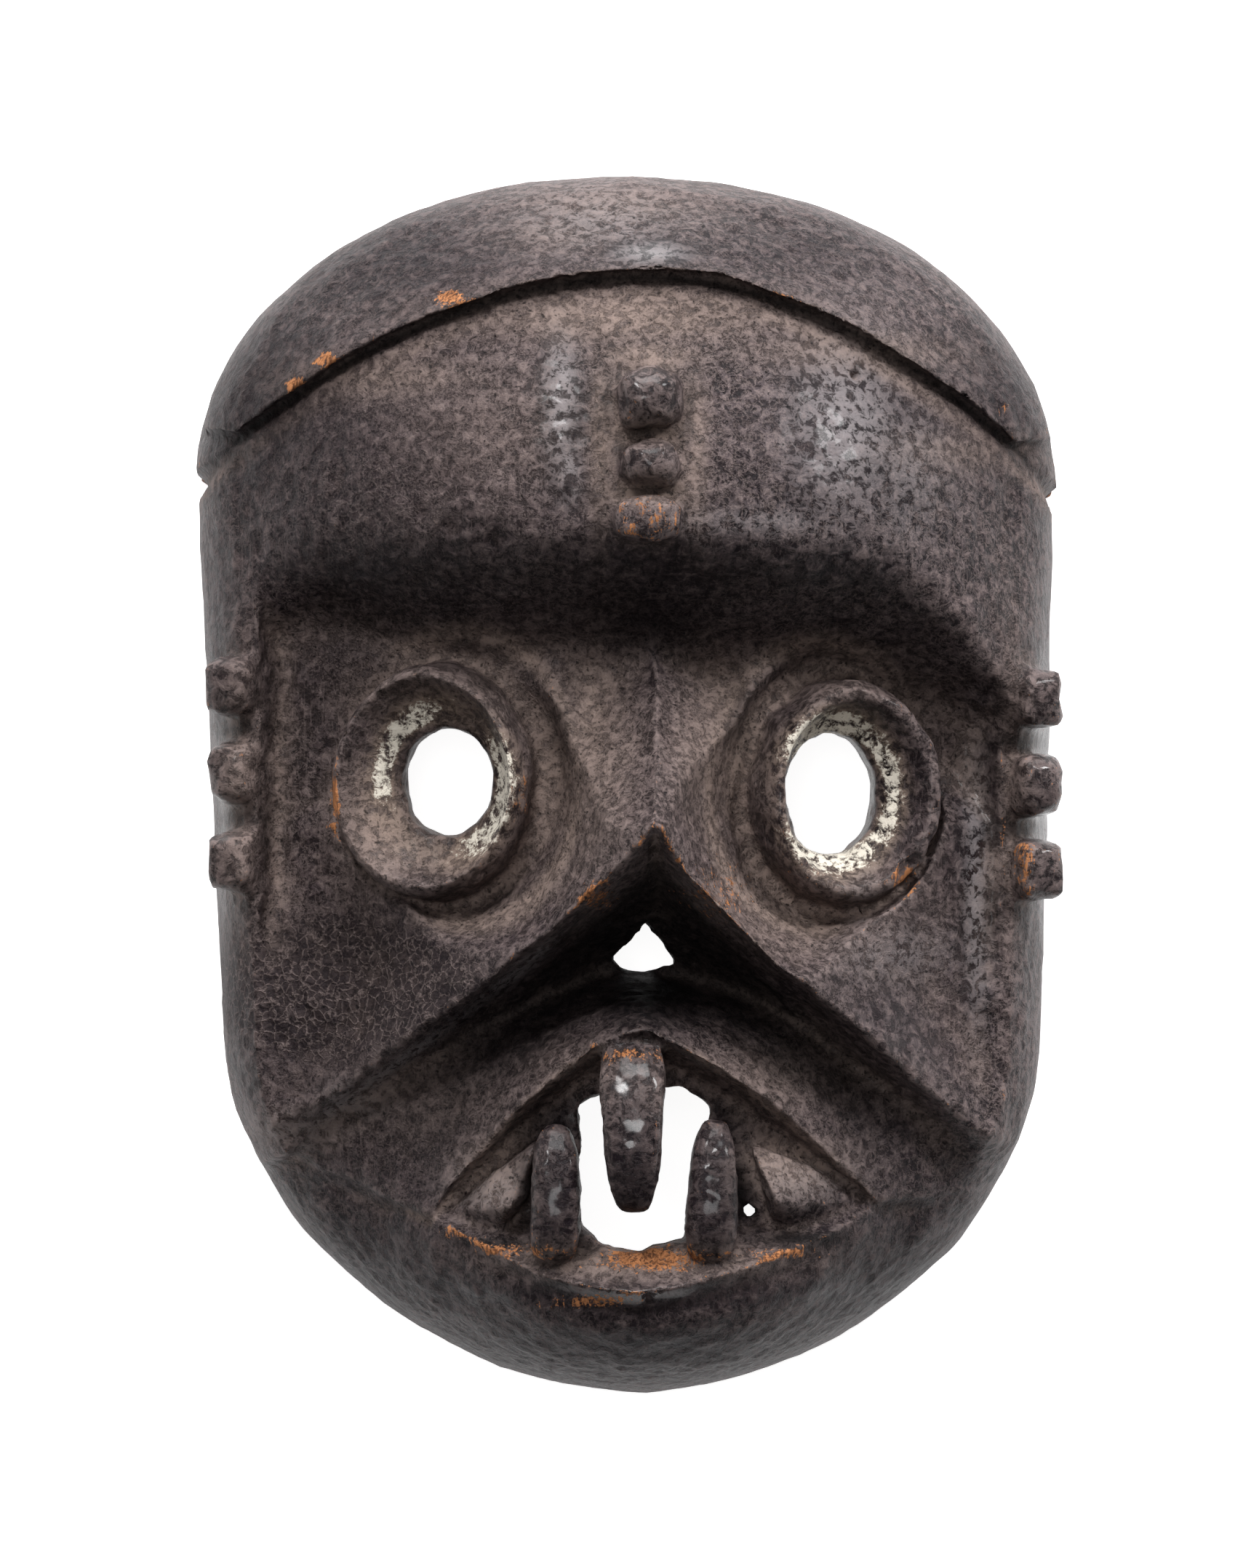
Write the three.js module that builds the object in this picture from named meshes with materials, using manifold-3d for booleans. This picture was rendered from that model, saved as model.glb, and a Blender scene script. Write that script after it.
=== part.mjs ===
import * as THREE from 'three';
import { mergeVertices } from 'three/addons/utils/BufferGeometryUtils.js';
import Module from 'manifold-3d';

// A carved wooden face mask, lying on its rim with the face up.
// Millimetres. +Z is the way the face looks, +Y runs up to the crown, +X is the viewer's right.

const wasm = await Module();
wasm.setup();

// Outline: a crown arc and a chin arc joined by nearly straight sides
const crownY = 65;
const crownRise = 75;
const crownHalfWidth = 99.6;
const crownRoundness = 2.12;
const chinY = -55;
const chinDrop = 86.2;
const chinHalfWidth = 95.2;
const chinRoundness = 1.92;
const slant = 0.012;

// The front ends in a rounded shoulder at this share of the way out, and the side wall falls from there
const shoulder = 0.9;
const shoulderRoundness = 2.2;
const rimTuck = 0.01;
const wallThickness = 11;

// Cap: a raised band with an overhanging edge above the forehead
const cap = { peakX: 3, peakY: 115, dropLeft: 0.0066, dropRight: 0.0082, power: 1.9,
  edgeHeight: 42, swell: 66, swellPower: 2.4, step: 6, grooveWidth: 4, grooveSlope: 0.6, sideStep: 1.3 };

// Forehead and brow
const brow = { y: 53, centreX: 5, height: 101, sideDrop: 39, sidePower: 2.3, lipHeight: 3, underSlope: 1.35,
  lipWidth: 5, halfWidth: 85, tiltRight: 0.07, cornerPower: 2.2,
  cornerLeft: 60, cornerDropLeft: 8, cornerRight: 45, cornerDropRight: 20 };
const foreheadSwell = 6;

// Width over which two zones of the face flow into each other
const blend = 4;
const templeBlend = 1.5;

// Sunken field of the eyes, between the temples
const eyeField = { halfWidth: 80, centreHeight: 74, sideHeight: 49, power: 1.3,
  cheekTop: -14, cheekBottom: -52, cheekHeight: 60 };
const temple = { x: 82, height: 58, wallSlope: 4.5, outwardFall: 0.5 };

// Nose ridge and the two folds that run down from its tip to the cheeks
const nose = { x: 6, rootY: 20, rootHeight: 80, tipY: -9.5, tipHeight: 112, flankDrop: 2.1, flankPower: 0.8 };
const fold = { dropLeft: 1.55, dropRight: 1.75, power: 0.856, heightLoss: 51, heightPower: 1.15,
  reach: 82, cheekSlope: 0.42 };
const trough = { centreBand: 27, bandFade: 20, sideBand: 6,
  centreHeight: 54, flankStart: 4, flankEnd: 34, flankHeight: 64, endStart: 50, endEnd: 80, endHeight: 57 };
const muzzle = { notchPower: 1.5, lipPower: 1.3 };

// Mouth: two lips that meet in a crease at the corners, around a sunken floor
const mouthX = 3;
const upperLip = { y: -55, dropLeft: 0.079, powerLeft: 1.63, dropRight: 0.18, powerRight: 1.355,
  creaseLeft: -95.5, creaseRight: -94, height: 95, sideDrop: 42, sidePower: 1.6, sideReach: 73 };
const lowerLip = { y: -112, rise: 0.0068, height: 98, sideDrop: 25, halfWidth: 48, leastGap: 2.4,
  band: 4.5, leastBand: 1.2, bandDepth: 5 };
const mouthFloor = { height: 79, sideDrop: 12, upperWall: 2.4, lowerWall: 1.5 };
const chin = { edgeHeight: 50, fullness: 1.9, leastWidth: 0.03 };

// Hollow behind the face
const hollow = { height: 53, foreheadY: 76, foreheadDepth: 31, foreheadSize: 42,
  mouthY: -90, mouthDepth: 15, mouthSize: 30, noseY: -42, noseShallow: 14, noseSize: 27,
  shoulder: 0.9, wallCurve: 1.5, overcut: 4 };

// Tube eyes: a raised lip around a funnel that narrows to a hole
const eyes = [
  { x: -44.2, y: 0.6, height: 68, width: 46.5, length: 53.5, tilt: 0.36,
    holeShift: 3, holeWidth: 20.5, holeLength: 24.5 },
  { x: 48.6, y: -2, height: 67, width: 43.5, length: 52, tilt: -0.34,
    holeShift: -4, holeWidth: 21, holeLength: 28 },
];
const eyeLip = { rise: 10, top: 0.9, crest: 0.82, chamfer: 1.5, foot: 12 };
const eyeMoat = { width: 9, floorMargin: 2, depth: 3.5, flare: 10, clearance: 22 };
const funnel = { neck: 3, neckShare: 0.55, overcut: 6, bottom: 60 };
const eyeSegments = 30;

// Small raised blocks in a column on the forehead and down each temple
const blocks = [
  { x: 4.4, y: 85.5, z: 97, width: 14.5, length: 13.5, depth: 15, lean: 0 },
  { x: 4.4, y: 71, z: 100, width: 13.5, length: 10.5, depth: 12, lean: 0 },
  { x: 3.9, y: 58.4, z: 100, width: 15, length: 9.5, depth: 12, lean: 0 },
];
const templeBlock = { left: -88.6, right: 91.6, height: 50, width: 11.5, length: 14.5, depth: 19, lean: 0.3 };
const templeRowsLeft = [22.2, 2.6, -17.8];
const templeRowsRight = [19.4, -0.4, -19.6];
const blockSquareness = 0.65;

// Teeth: one hangs from the upper lip, two stand on the lower lip
const teeth = [
  { rootX: 0.6, rootY: -56, rootZ: 88, rootWidth: 17,
    tipX: 0.8, tipY: -95.5, tipZ: 93, tipWidth: 9.5, depth: 13, bow: 6 },
  { rootX: -16.8, rootY: -107, rootZ: 89, rootWidth: 13.5,
    tipX: -16.2, tipY: -75.5, tipZ: 87, tipWidth: 10, depth: 12, bow: 3 },
  { rootX: 18, rootY: -107, rootZ: 89, rootWidth: 13.5,
    tipX: 19, tipY: -74.3, tipZ: 88, tipWidth: 10, depth: 12, bow: 3 },
];
const toothSquareness = 0.6;
const toothTipDepth = 0.75;

// Corner plates: flat-faced wedges that fill the mouth's corners behind the teeth
const plate = { bottom: 60, top: 84, fallStart: 22, fall: 0.45 };
const cornerPlates = [
  [[-20.5, -79], [-22.5, -92.5], [-28.5, -100.3], [-35, -99.6], [-41.5, -95.8]],
  [[26.8, -80.5], [41, -85.5], [53, -94], [44.5, -98.4], [38, -99.2], [31.5, -97.6]],
];

// Holes cut straight through the face: under the nose, in the mouth, and under the right corner plate
const throughCut = { bottom: 20, top: 130 };
const noseHole = [[3.6, -31.3], [-3.6, -40.6], [3, -42.2], [10.4, -40.6]];
const mouthHole = [[-10.8, -72], [-5.6, -69], [6.5, -68.5], [12, -68], [17.5, -73], [14.5, -86], [12, -102],
  [2.5, -104.5], [-6, -103], [-10.8, -99]];
const cornerGap = [[25.8, -92], [28.6, -96.5], [25.8, -97.5]];

const { clamp, lerp, mapLinear, smoothstep } = THREE.MathUtils;

// The middle line of the face leans a little, as the carver left it
function middleX(y) {
  return -slant * y;
}

// Share of the way from the middle line of the face out to the outline: 0 on the line, 1 on the outline
function outlineShare(x, y) {
  const norm = (a, b, power) => (Math.abs(a) ** power + Math.abs(b) ** power) ** (1 / power);
  const across = x - middleX(y);
  if (y > crownY) {
    return norm(across / crownHalfWidth, (y - crownY) / crownRise, crownRoundness);
  }
  if (y < chinY) {
    return norm(across / chinHalfWidth, (y - chinY) / chinDrop, chinRoundness);
  }
  return Math.abs(across) / mapLinear(y, chinY, crownY, chinHalfWidth, crownHalfWidth);
}

// Moves a point out or in, away from the middle line, until it lies at the wanted share
function atShare(point, share) {
  const spineY = clamp(point.y, chinY, crownY);
  const factor = share / outlineShare(point.x, point.y);
  const y = spineY + (point.y - spineY) * factor;
  return new THREE.Vector2(middleX(y) + (point.x - middleX(point.y)) * factor, y);
}

function smoothMax(a, b, width) {
  const mix = clamp(0.5 + (a - b) / (2 * width), 0, 1);
  return lerp(b, a, mix) + width * mix * (1 - mix);
}

// Lines of the carving: the height up the face at which each one crosses x

function capEdge(x) {
  const drop = x < cap.peakX ? cap.dropLeft : cap.dropRight;
  return cap.peakY - drop * Math.abs(x - cap.peakX) ** cap.power;
}

function browLine(x) {
  const corner = x < 0 ? brow.cornerLeft : brow.cornerRight;
  const cornerDrop = x < 0 ? brow.cornerDropLeft : brow.cornerDropRight;
  const past = Math.max(0, Math.abs(x) - corner) / (eyeField.halfWidth - corner);
  return brow.y - brow.tiltRight * Math.max(0, x) - cornerDrop * past ** brow.cornerPower;
}

function foldLine(x) {
  const drop = x < nose.x ? fold.dropLeft : fold.dropRight;
  return nose.tipY - drop * Math.abs(x - nose.x) ** fold.power;
}

function troughLine(x) {
  const centreShare = Math.exp(-Math.abs(x - nose.x) / trough.bandFade);
  return foldLine(x) - trough.sideBand - trough.centreBand * centreShare;
}

function upperLipLine(x) {
  const across = Math.abs(x - mouthX);
  if (x < mouthX) {
    return Math.max(upperLip.y - upperLip.dropLeft * across ** upperLip.powerLeft, upperLip.creaseLeft);
  }
  return Math.max(upperLip.y - upperLip.dropRight * across ** upperLip.powerRight, upperLip.creaseRight);
}

function lowerLipLine(x) {
  return Math.min(lowerLip.y + lowerLip.rise * (x - mouthX) ** 2, upperLipLine(x) - lowerLip.leastGap);
}

// How far the lower lip still stands out at x: 1 in the middle, 0 from the mouth's corners outward
function lowerLipShare(x) {
  return Math.max(0, 1 - ((x - mouthX) / lowerLip.halfWidth) ** 2);
}

function lowerLipFoot(x) {
  return lowerLipLine(x) - lowerLip.leastBand - lowerLip.band * lowerLipShare(x) ** 0.5;
}

// Heights along those lines

function capHeight(x, y) {
  return cap.edgeHeight + cap.swell * (1 - Math.min(1, outlineShare(x, y)) ** cap.swellPower);
}

function browHeight(x) {
  return brow.height - brow.sideDrop * (Math.abs(x - brow.centreX) / brow.halfWidth) ** brow.sidePower;
}

function foldHeight(x) {
  return nose.tipHeight - fold.heightLoss * (Math.abs(x - nose.x) / fold.reach) ** fold.heightPower;
}

function troughHeight(x) {
  const across = Math.abs(x - nose.x);
  const flankShare = smoothstep(across, trough.flankStart, trough.flankEnd);
  const endShare = smoothstep(across, trough.endStart, trough.endEnd);
  return lerp(lerp(trough.centreHeight, trough.flankHeight, flankShare), trough.endHeight, endShare);
}

function upperLipHeight(x) {
  const share = Math.abs(x - mouthX) / upperLip.sideReach;
  return upperLip.height - upperLip.sideDrop * share ** upperLip.sidePower;
}

function lowerLipHeight(x) {
  const lip = lowerLip.height - lowerLip.sideDrop * ((x - mouthX) / lowerLip.halfWidth) ** 2;
  return Math.max(lip, upperLipHeight(x) - 1);
}

// Height of the face over each zone

function foreheadHeight(x, y) {
  const top = capEdge(x) - cap.grooveWidth;
  const edgeHeight = capHeight(x, capEdge(x));
  const topHeight = edgeHeight - cap.step * cap.grooveSlope;
  if (y > top) {
    return lerp(topHeight, edgeHeight - cap.step, smoothstep(y, top, capEdge(x) - 1));
  }
  const t = clamp((y - browLine(x)) / (top - browLine(x)), 0, 1);
  const swell = foreheadSwell * Math.sin(Math.PI * t) * (1 - (x / crownHalfWidth) ** 2);
  const browRounding = brow.lipHeight * (1 - smoothstep(y, browLine(x), browLine(x) + brow.lipWidth));
  return lerp(browHeight(x), topHeight, t) + swell - browRounding;
}

function eyeFieldHeight(x, y) {
  const share = Math.min(1, Math.abs(x) / eyeField.halfWidth);
  const cheekShare = smoothstep(-y, -eyeField.cheekTop, -eyeField.cheekBottom);
  const sideHeight = lerp(eyeField.sideHeight, eyeField.cheekHeight, cheekShare);
  const field = sideHeight + (eyeField.centreHeight - sideHeight) * (1 - share ** eyeField.power);
  const under = browHeight(x) - brow.lipHeight - brow.underSlope * (browLine(x) - y);
  const rising = mapLinear(y, nose.rootY, nose.tipY, nose.rootHeight, nose.tipHeight);
  const ridge = Math.min(nose.tipHeight, rising);
  const flank = ridge - nose.flankDrop * Math.abs(x - nose.x) ** nose.flankPower;
  const cheek = foldHeight(x) - fold.cheekSlope * (y - foldLine(x));
  const side = Math.abs(x) - temple.x;
  const band = temple.height - temple.outwardFall * Math.max(0, side) + temple.wallSlope * Math.min(0, side);
  const face = smoothMax(smoothMax(smoothMax(field, under, blend), flank, blend), cheek, blend);
  return smoothMax(face, band, templeBlend);
}

function muzzleHeight(x, y) {
  const low = troughLine(x);
  if (y > low) {
    const t = clamp((y - low) / (foldLine(x) - low), 0, 1);
    return lerp(troughHeight(x), foldHeight(x), t ** muzzle.notchPower);
  }
  const t = clamp((y - upperLipLine(x)) / (low - upperLipLine(x)), 0, 1);
  return lerp(upperLipHeight(x), troughHeight(x), t ** muzzle.lipPower);
}

function mouthHeight(x, y) {
  const floor = mouthFloor.height - mouthFloor.sideDrop * ((x - mouthX) / lowerLip.halfWidth) ** 2;
  const upper = upperLipHeight(x) - mouthFloor.upperWall * (upperLipLine(x) - y);
  const lower = lowerLipHeight(x) - mouthFloor.lowerWall * (y - lowerLipLine(x));
  return Math.max(floor, upper, lower);
}

function chinHeight(x, y) {
  const footY = lowerLipFoot(x);
  const footHeight = lowerLipHeight(x) - lowerLip.bandDepth * lowerLipShare(x);
  if (y > footY) {
    return lerp(footHeight, lowerLipHeight(x), clamp((y - footY) / (lowerLipLine(x) - footY), 0, 1) ** 2);
  }
  const start = Math.min(outlineShare(x, footY), shoulder - chin.leastWidth);
  const t = clamp((outlineShare(x, y) - start) / (shoulder - start), 0, 1);
  return lerp(footHeight, chin.edgeHeight, t ** chin.fullness);
}

function faceHeight(x, y) {
  // A point that was set on a line belongs to the zone above it, in spite of rounding
  const edge = 1e-6;
  if (y >= capEdge(x) - edge) {
    return capHeight(x, y);
  }
  if (y >= browLine(x) - edge) {
    return foreheadHeight(x, y);
  }
  if (y >= foldLine(x) - edge) {
    return eyeFieldHeight(x, y);
  }
  if (y >= upperLipLine(x) - edge) {
    return muzzleHeight(x, y);
  }
  if (y >= lowerLipLine(x) - edge) {
    return mouthHeight(x, y);
  }
  return chinHeight(x, y);
}

// Rows of a grid. Each row is a function of u, from -1 at the left border to 1 at the right one.

// Row along a line of the carving, from border to border
function rowAlong(line, border) {
  const halvings = 30;
  const reachSide = (side) => {
    let inner = 0;
    let outer = crownHalfWidth;
    for (let i = 0; i < halvings; i++) {
      const middle = (inner + outer) / 2;
      const inside = outlineShare(side * middle, line(side * middle)) < border;
      inner = inside ? middle : inner;
      outer = inside ? outer : middle;
    }
    return inner;
  };
  const left = reachSide(-1);
  const right = reachSide(1);
  return (u) => {
    const x = (u < 0 ? left : right) * u + nose.x * (1 - Math.abs(u));
    return new THREE.Vector2(x, line(x));
  };
}

// Row along the border itself, over the crown (direction 1) or under the chin (direction -1)
function rowOnBorder(centreY, spread, direction, border) {
  return (u) => {
    const angle = u * spread;
    const x = crownHalfWidth * Math.sin(angle);
    return atShare(new THREE.Vector2(x, centreY + direction * crownRise * Math.cos(angle)), border);
  };
}

// Fills in the rows between stations: a station's bands count the strips down to the next one
function rowsBetween(stations) {
  return stations.flatMap(({ row, bands }, index) => {
    const strip = [row];
    for (let band = 1; band < bands; band++) {
      const next = stations[index + 1].row;
      strip.push((u) => row(u).lerp(next(u), band / bands));
    }
    return strip;
  });
}

// Angle from straight up or down to the outermost point of the crown's and chin's rows
const crownSpread = 1.13;
const chinSpread = 1.08;

const rows = rowsBetween([
  { row: rowOnBorder(crownY, crownSpread, 1, shoulder), bands: 3 },
  { row: rowAlong((x) => capEdge(x), shoulder), bands: 1 },
  { row: rowAlong((x) => capEdge(x) - 1, shoulder), bands: 1 },
  { row: rowAlong((x) => capEdge(x) - cap.grooveWidth, shoulder), bands: 4 },
  { row: rowAlong((x) => browLine(x) + brow.lipWidth, shoulder), bands: 2 },
  { row: rowAlong((x) => browLine(x), shoulder), bands: 2 },
  { row: rowAlong((x) => browLine(x) - 14, shoulder), bands: 8 },
  { row: rowAlong((x) => foldLine(x), shoulder), bands: 2 },
  { row: rowAlong((x) => troughLine(x), shoulder), bands: 3 },
  { row: rowAlong((x) => upperLipLine(x), shoulder), bands: 1 },
  { row: rowAlong((x) => lerp(upperLipLine(x), lowerLipLine(x), 0.16), shoulder), bands: 3 },
  { row: rowAlong((x) => lerp(upperLipLine(x), lowerLipLine(x), 0.8), shoulder), bands: 1 },
  { row: rowAlong((x) => lowerLipLine(x), shoulder), bands: 1 },
  { row: rowAlong((x) => lowerLipFoot(x), shoulder), bands: 4 },
  { row: rowOnBorder(chinY, chinSpread, -1, shoulder), bands: 0 },
]);

// Columns are even across the face, and close together where the temples' inner walls drop
const halfColumns = [0, 0.05, 0.11, 0.17, 0.23, 0.29, 0.35, 0.42, 0.49, 0.56, 0.63, 0.7, 0.77, 0.84,
  0.9, 0.93, 0.965, 1];
const columns = [...halfColumns.slice(1).reverse().map((u) => -u), ...halfColumns];

const wallSteps = 5;

// The back face of the block is cut away by the hollow, so its inner points only need to lie inside it
const backShare = 0.8;

// Point on the outside at column u, row number and level: level 1 is the face, level 0 the rim's plane
function outsidePoint(u, rowNumber, level) {
  const plan = rows[rowNumber](u);
  const onBorder = Math.abs(u) === 1 || rowNumber === 0 || rowNumber === rows.length - 1;
  if (level === 0 && !onBorder) {
    return new THREE.Vector3(plan.x * backShare, plan.y * backShare, 0);
  }
  const height = faceHeight(plan.x, plan.y);
  if (level === 1) {
    return new THREE.Vector3(plan.x, plan.y, height);
  }
  const capStep = plan.y > capEdge(plan.x) - 0.5 ? cap.sideStep / crownHalfWidth : 0;
  const out = (1 - level ** shoulderRoundness) ** (1 / 2);
  const tuck = rimTuck * (1 - level) ** 3;
  const share = lerp(shoulder, 1 + capStep, out) - tuck;
  const wall = atShare(plan, share);
  return new THREE.Vector3(wall.x, wall.y, height * level);
}

function moveVertices(geometry, move) {
  const positions = geometry.getAttribute('position');
  const point = new THREE.Vector3();
  for (let i = 0; i < positions.count; i++) {
    move(point.fromBufferAttribute(positions, i));
    positions.setXYZ(i, point.x, point.y, point.z);
  }
  return geometry;
}

function outsideGeometry() {
  const across = columns.length - 1;
  const down = rows.length - 1;
  const box = new THREE.BoxGeometry(1, 1, 1, across, down, wallSteps);
  return moveVertices(box, (point) => {
    const u = columns[Math.round((point.x + 0.5) * across)];
    const rowNumber = Math.round((0.5 - point.y) * down);
    const level = Math.round((point.z + 0.5) * wallSteps) / wallSteps;
    point.copy(outsidePoint(u, rowNumber, level));
  });
}

// Hollow: a smooth dome, deeper behind the forehead and the mouth and shallower behind the nose's notch
function hollowHeight(x, y, share) {
  const bump = (centreY, size) => Math.exp(-((x / size) ** 2) - ((y - centreY) / size) ** 2);
  const roof = hollow.height
    + hollow.foreheadDepth * bump(hollow.foreheadY, hollow.foreheadSize)
    + hollow.mouthDepth * bump(hollow.mouthY, hollow.mouthSize)
    - hollow.noseShallow * bump(hollow.noseY, hollow.noseSize);
  return roof * (1 - share ** 4) ** 0.5;
}

function hollowGeometry() {
  const rimShare = 1 - wallThickness / chinHalfWidth;
  const border = rimShare * hollow.shoulder;
  const hollowRows = rowsBetween([
    { row: rowOnBorder(crownY, 1, 1, border), bands: 4 },
    { row: rowAlong(() => crownY, border), bands: 11 },
    { row: rowAlong(() => chinY, border), bands: 4 },
    { row: rowOnBorder(chinY, 1, -1, border), bands: 0 },
  ]);
  const across = 16;
  const down = hollowRows.length - 1;
  const steps = 3;
  return moveVertices(new THREE.BoxGeometry(1, 1, 1, across, down, steps), (point) => {
    const u = point.x * 2;
    const rowNumber = Math.round((0.5 - point.y) * down);
    const level = Math.round((point.z + 0.5) * steps) / steps;
    const plan = hollowRows[rowNumber](u);
    const onBorder = Math.abs(u) > 0.999 || rowNumber === 0 || rowNumber === down;
    const roof = hollowHeight(plan.x, plan.y, outlineShare(plan.x, plan.y) / rimShare);
    if (onBorder) {
      plan.copy(atShare(plan, rimShare * lerp(1, hollow.shoulder, level ** hollow.wallCurve)));
    }
    point.set(plan.x, plan.y, lerp(-hollow.overcut, roof, level));
  });
}

// A closed geometry with its shared vertices merged becomes a solid that can be joined and cut
function solid(geometry) {
  geometry.deleteAttribute('normal');
  geometry.deleteAttribute('uv');
  const merged = mergeVertices(geometry, 1e-4);
  const vertProperties = new Float32Array(merged.getAttribute('position').array);
  const triVerts = new Uint32Array(merged.index.array);
  return new wasm.Manifold(new wasm.Mesh({ numProp: 3, vertProperties, triVerts }));
}

// Sphere pulled towards a box by the squareness power: 1 is a ball, smaller is squarer
function pillow(width, length, depth, squareness, widthSegments, heightSegments) {
  const ball = new THREE.SphereGeometry(1, widthSegments, heightSegments);
  const pull = (value) => Math.sign(value) * Math.abs(value) ** squareness;
  return moveVertices(ball, (point) => {
    point.set(pull(point.x) * width / 2, pull(point.y) * length / 2, pull(point.z) * depth / 2);
  });
}

function blockGeometry({ x, y, z, width, length, depth, lean }) {
  const block = pillow(width, length, depth, blockSquareness, 10, 6);
  block.rotateY(lean);
  block.translate(x, y, z);
  return block;
}

// A tooth is a long pillow that narrows to its tip and bows outward between root and tip
function toothGeometry({ rootX, rootY, tipX, tipY, rootZ, tipZ, rootWidth, tipWidth, depth, bow }) {
  return moveVertices(pillow(1, 2, depth, toothSquareness, 12, 10), (point) => {
    const t = (point.y + 1) / 2;
    const width = lerp(rootWidth, tipWidth, t);
    point.set(
      lerp(rootX, tipX, t) + point.x * width,
      lerp(rootY, tipY, t),
      lerp(rootZ, tipZ, t) + bow * Math.sin(Math.PI * t) + point.z * lerp(1, toothTipDepth, t),
    );
  });
}

// Places a shape made around an eye's axis: oval, leaning outward, at the eye's centre
function placeAtEye(geometry, eye) {
  geometry.scale(eye.width / eye.length, 1, 1);
  geometry.rotateY(-eye.tilt);
  geometry.translate(eye.x, eye.y, eye.height);
  return geometry;
}

// Turned shape around +Z from a closed profile of [radius, height] pairs
function turned(profile) {
  const points = profile.map(([radius, height]) => new THREE.Vector2(radius, height));
  return new THREE.LatheGeometry(points, eyeSegments).rotateX(Math.PI / 2);
}

function moatSolid(eye) {
  const inner = eye.length / 2;
  const outer = inner + eyeMoat.width;
  const profile = [
    [0, -eyeMoat.depth],
    [inner + eyeMoat.floorMargin, -eyeMoat.depth],
    [outer, funnel.neck],
    [outer + eyeMoat.flare, eyeMoat.clearance],
    [0, eyeMoat.clearance],
  ];
  return solid(placeAtEye(turned(profile), eye));
}

function lipSolid(eye) {
  const radius = eye.length / 2;
  const profile = [
    [0, -eyeLip.foot],
    [radius + 0.5, -eyeLip.foot],
    [radius, 1],
    [radius * eyeLip.top, eyeLip.rise - eyeLip.chamfer],
    [radius * eyeLip.crest, eyeLip.rise],
    [0, eyeLip.rise],
  ];
  return solid(placeAtEye(turned(profile), eye));
}

// The funnel starts just inside the lip's crest and slants to the hole, which goes straight through
function funnelSolid(eye) {
  const top = eye.length / 2 * eyeLip.crest;
  const hole = eye.holeLength / 2;
  const profile = [
    [0, -funnel.bottom],
    [hole, -funnel.bottom],
    [hole, -funnel.neck],
    [lerp(hole, top, funnel.neckShare), funnel.neck],
    [top * 0.98, eyeLip.rise - 0.5],
    [top * 1.01, eyeLip.rise + funnel.overcut],
    [0, eyeLip.rise + funnel.overcut],
  ];
  const squeeze = (eye.holeWidth / eye.holeLength) / (eye.width / eye.length);
  const shape = moveVertices(turned(profile), (point) => {
    const deep = 1 - smoothstep(point.z, -funnel.neck, eyeLip.rise);
    const straighten = eye.tilt * Math.min(0, point.z + funnel.neck);
    point.x = point.x * lerp(1, squeeze, deep) + eye.holeShift * deep + straighten;
  });
  return solid(placeAtEye(shape, eye));
}

function prism(points, low, high) {
  const shape = new THREE.Shape(points.map(([x, y]) => new THREE.Vector2(x, y)));
  const block = new THREE.ExtrudeGeometry(shape, { depth: high - low, bevelEnabled: false });
  return block.translate(0, 0, low);
}

// The plate's front face falls away toward the mouth's corner
function cornerPlateSolid(points) {
  const middle = (plate.bottom + plate.top) / 2;
  return solid(moveVertices(prism(points, plate.bottom, plate.top), (point) => {
    const fall = plate.fall * Math.max(0, Math.abs(point.x - mouthX) - plate.fallStart);
    point.z -= point.z > middle ? fall : 0;
  }));
}

function maskGeometry() {
  let mask = solid(outsideGeometry());
  for (const eye of eyes) {
    mask = mask.subtract(moatSolid(eye)).add(lipSolid(eye));
  }
  for (const points of cornerPlates) {
    mask = mask.add(cornerPlateSolid(points));
  }
  for (const points of [noseHole, mouthHole, cornerGap]) {
    mask = mask.subtract(solid(prism(points, throughCut.bottom, throughCut.top)));
  }
  for (const block of blocks) {
    mask = mask.add(solid(blockGeometry(block)));
  }
  for (const [side, list] of [[-1, templeRowsLeft], [1, templeRowsRight]]) {
    for (const y of list) {
      const x = side < 0 ? templeBlock.left : templeBlock.right;
      const block = { ...templeBlock, x, y, z: templeBlock.height, lean: side * templeBlock.lean };
      mask = mask.add(solid(blockGeometry(block)));
    }
  }
  for (const tooth of teeth) {
    mask = mask.add(solid(toothGeometry(tooth)));
  }
  mask = mask.subtract(solid(hollowGeometry()));
  for (const eye of eyes) {
    mask = mask.subtract(funnelSolid(eye));
  }
  const mesh = mask.getMesh();
  const geometry = new THREE.BufferGeometry();
  geometry.setAttribute('position', new THREE.BufferAttribute(new Float32Array(mesh.vertProperties), 3));
  geometry.setIndex(new THREE.BufferAttribute(new Uint32Array(mesh.triVerts), 1));
  geometry.computeVertexNormals();
  return geometry;
}

const wood = new THREE.MeshStandardMaterial({ color: 0x3a322e, roughness: 0.6, metalness: 0 });
const mask = new THREE.Mesh(maskGeometry(), wood);
mask.name = 'mask';

// The origin is under the middle of the mask's box, on the plane that the rim rests on
const box = new THREE.Box3().setFromObject(mask);
mask.position.set(-(box.min.x + box.max.x) / 2, -(box.min.y + box.max.y) / 2, -box.min.z);

const part = new THREE.Group();
part.add(mask);

export default part;
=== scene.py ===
from itertools import product

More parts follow.
